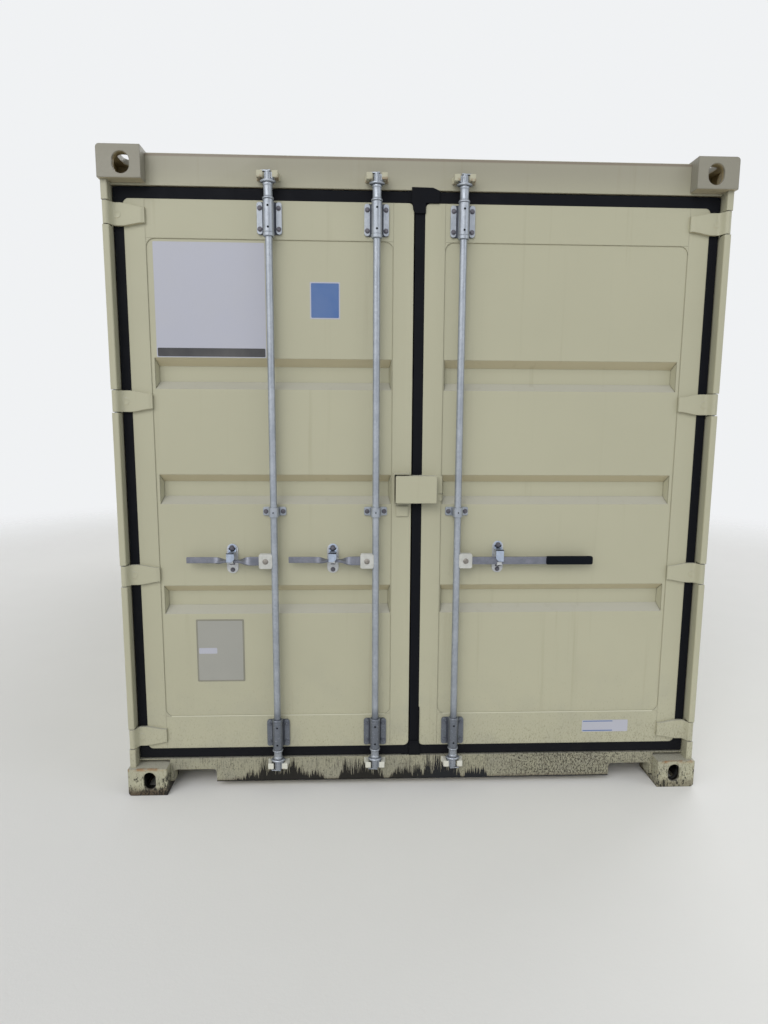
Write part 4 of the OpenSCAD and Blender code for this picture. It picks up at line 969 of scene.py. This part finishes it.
# bare labels and plates: (name, finish, low corner, high corner, depth, thickness)
labels = dict(
    left_door=(("whiteSheet", "sheet", (-1.042, 1.826), (-0.612, 2.263), 0.061, 0.0006),
               ("sheetBand", "darkBand", (-1.038, 1.829), (-0.616, 1.862), 0.0604, 0.0004),
               ("blueLabelRim", "sheet", (-0.438, 1.978), (-0.319, 2.120), 0.061, 0.0004),
               ("blueLabel", "blueLabel", (-0.433, 1.983), (-0.324, 2.115), 0.0606, 0.0003),
               ("plateRim", "plateRim", (-0.927, 0.480), (-0.728, 0.752), 0.061, 0.0012),
               ("greyPlate", "plate", (-0.9205, 0.4865), (-0.7345, 0.7455), 0.0598, 0.0003),
               ("plateStrip", "sheet", (-0.918, 0.603), (-0.842, 0.628), 0.0595, 0.0003)),
    right_door=(("smallLabel", "sheet", (0.733, 0.232), (0.936, 0.286), 0.058, 0.0005),
                ("labelLines", "blueLabel", (0.737, 0.2355), (0.868, 0.2395), 0.0575, 0.0003),
                ("labelLinesTop", "blueLabel", (0.737, 0.2785), (0.868, 0.2825), 0.0575, 0.0003)))


def makeLabel(body, name, finish, low, high, depth, thick):
    bm = bmesh.new()
    radius = min(0.004, (high[1] - low[1]) * 0.2)
    near, far = deep(depth - thick), deep(depth + 0.0001)
    roundSlab(bm, (low[0], near, low[1]), (high[0], far, high[1]), 1, radius, 3)
    newPiece(name, body, finish, bm)


for body, pieces in labels.items():
    for label in pieces:
        makeLabel(body, *label)
print("seals, lock box and labels made")

# ---- finishes of the CAD's own meshes
cadFinish = {
    "top_castings": "topCasting", "bottom_castings": "casting", "rear_posts": "frame", "front_posts": "frame",
    "door_header": "frame", "door_sill": "sill", "front_header": "frame", "front_sill": "frame",
    "top_side_rails": "frame", "bottom_side_rails": "frame", "cross_members": "frame",
    "forklift_pockets": "frame", "floor_boards": "wood", "side_walls": "wall", "front_wall": "wall",
    "roof_panel": "wall", "roof_end_plates": "wall", "side_vents": "wall", "hinge_pins": "zinc",
    "lock_box": "door", "lock_box_shroud": "door",
}
for name, node in nodes.items():
    kind = cadFinish.get(name) or ("seal" if "gasket" in name else "door" if "door" in name else "zinc")
    node.data.materials.clear()
    node.data.materials.append(finishes[kind])

# ---- floor and sky
studio = dict(floorDark=(0.776, 0.776, 0.768, 1), floorLight=(0.80, 0.80, 0.792, 1), floorRadius=8.5,
              clearFrom=4.6, clearTo=8.1, floorAt=(0, -0.4, -0.0005), ambient=0.50, seen=0.90,
              sky=(0.97, 0.985, 1, 1))


def addFloor():
    bm = bmesh.new()
    bmesh.ops.create_circle(bm, cap_ends=True, segments=96, radius=studio["floorRadius"])
    mesh = bpy.data.meshes.new("floor")
    bm.to_mesh(mesh)
    bm.free()
    floor = bpy.data.objects.new("floor", mesh)
    bpy.context.scene.collection.objects.link(floor)
    mesh.transform(Matrix.Translation(studio["floorAt"]))
    f = Finish("paleFloor")
    colour = f.blend(f.noise(3, 4), studio["floorDark"], studio["floorLight"])
    f.finish(colour, 0.85, f.bump(f.noise(90, 3), 0.0005))
    # the floor fades out into the backdrop with distance
    far = f.node("ShaderNodeVectorMath", {"operation": "LENGTH"}, {0: f.place}, out="Value")
    mixed = f.node("ShaderNodeMixShader", inputs={
        0: f.ramp(far, studio["clearFrom"], studio["clearTo"]), 1: Wire(f.tree, f.shader.outputs[0]),
        2: f.node("ShaderNodeBsdfTransparent")})
    plug(f.tree, f.tree.nodes["Material Output"].inputs["Surface"], mixed)
    mesh.materials.append(f.material)


def addSky():
    world = bpy.data.worlds.new("studio")
    bpy.context.scene.world = world
    world.use_nodes = True
    sky = Nodes(world.node_tree)
    camera, glossy, through = (sky.node("ShaderNodeLightPath", out=ray) for ray in
                               ("Is Camera Ray", "Is Glossy Ray", "Is Transmission Ray"))
    backdrop = sky.tree.nodes["Background"]
    plug(sky.tree, backdrop.inputs["Strength"],
         (camera + glossy + through) * (studio["seen"] - studio["ambient"]) + studio["ambient"])
    backdrop.inputs["Color"].default_value = studio["sky"]


setCamera()
addFloor()
addSky()
for lamp in lamps:
    addLamp(**lamp)
bpy.context.scene.view_settings.view_transform = "Standard"
print("camera, floor and lamps set")
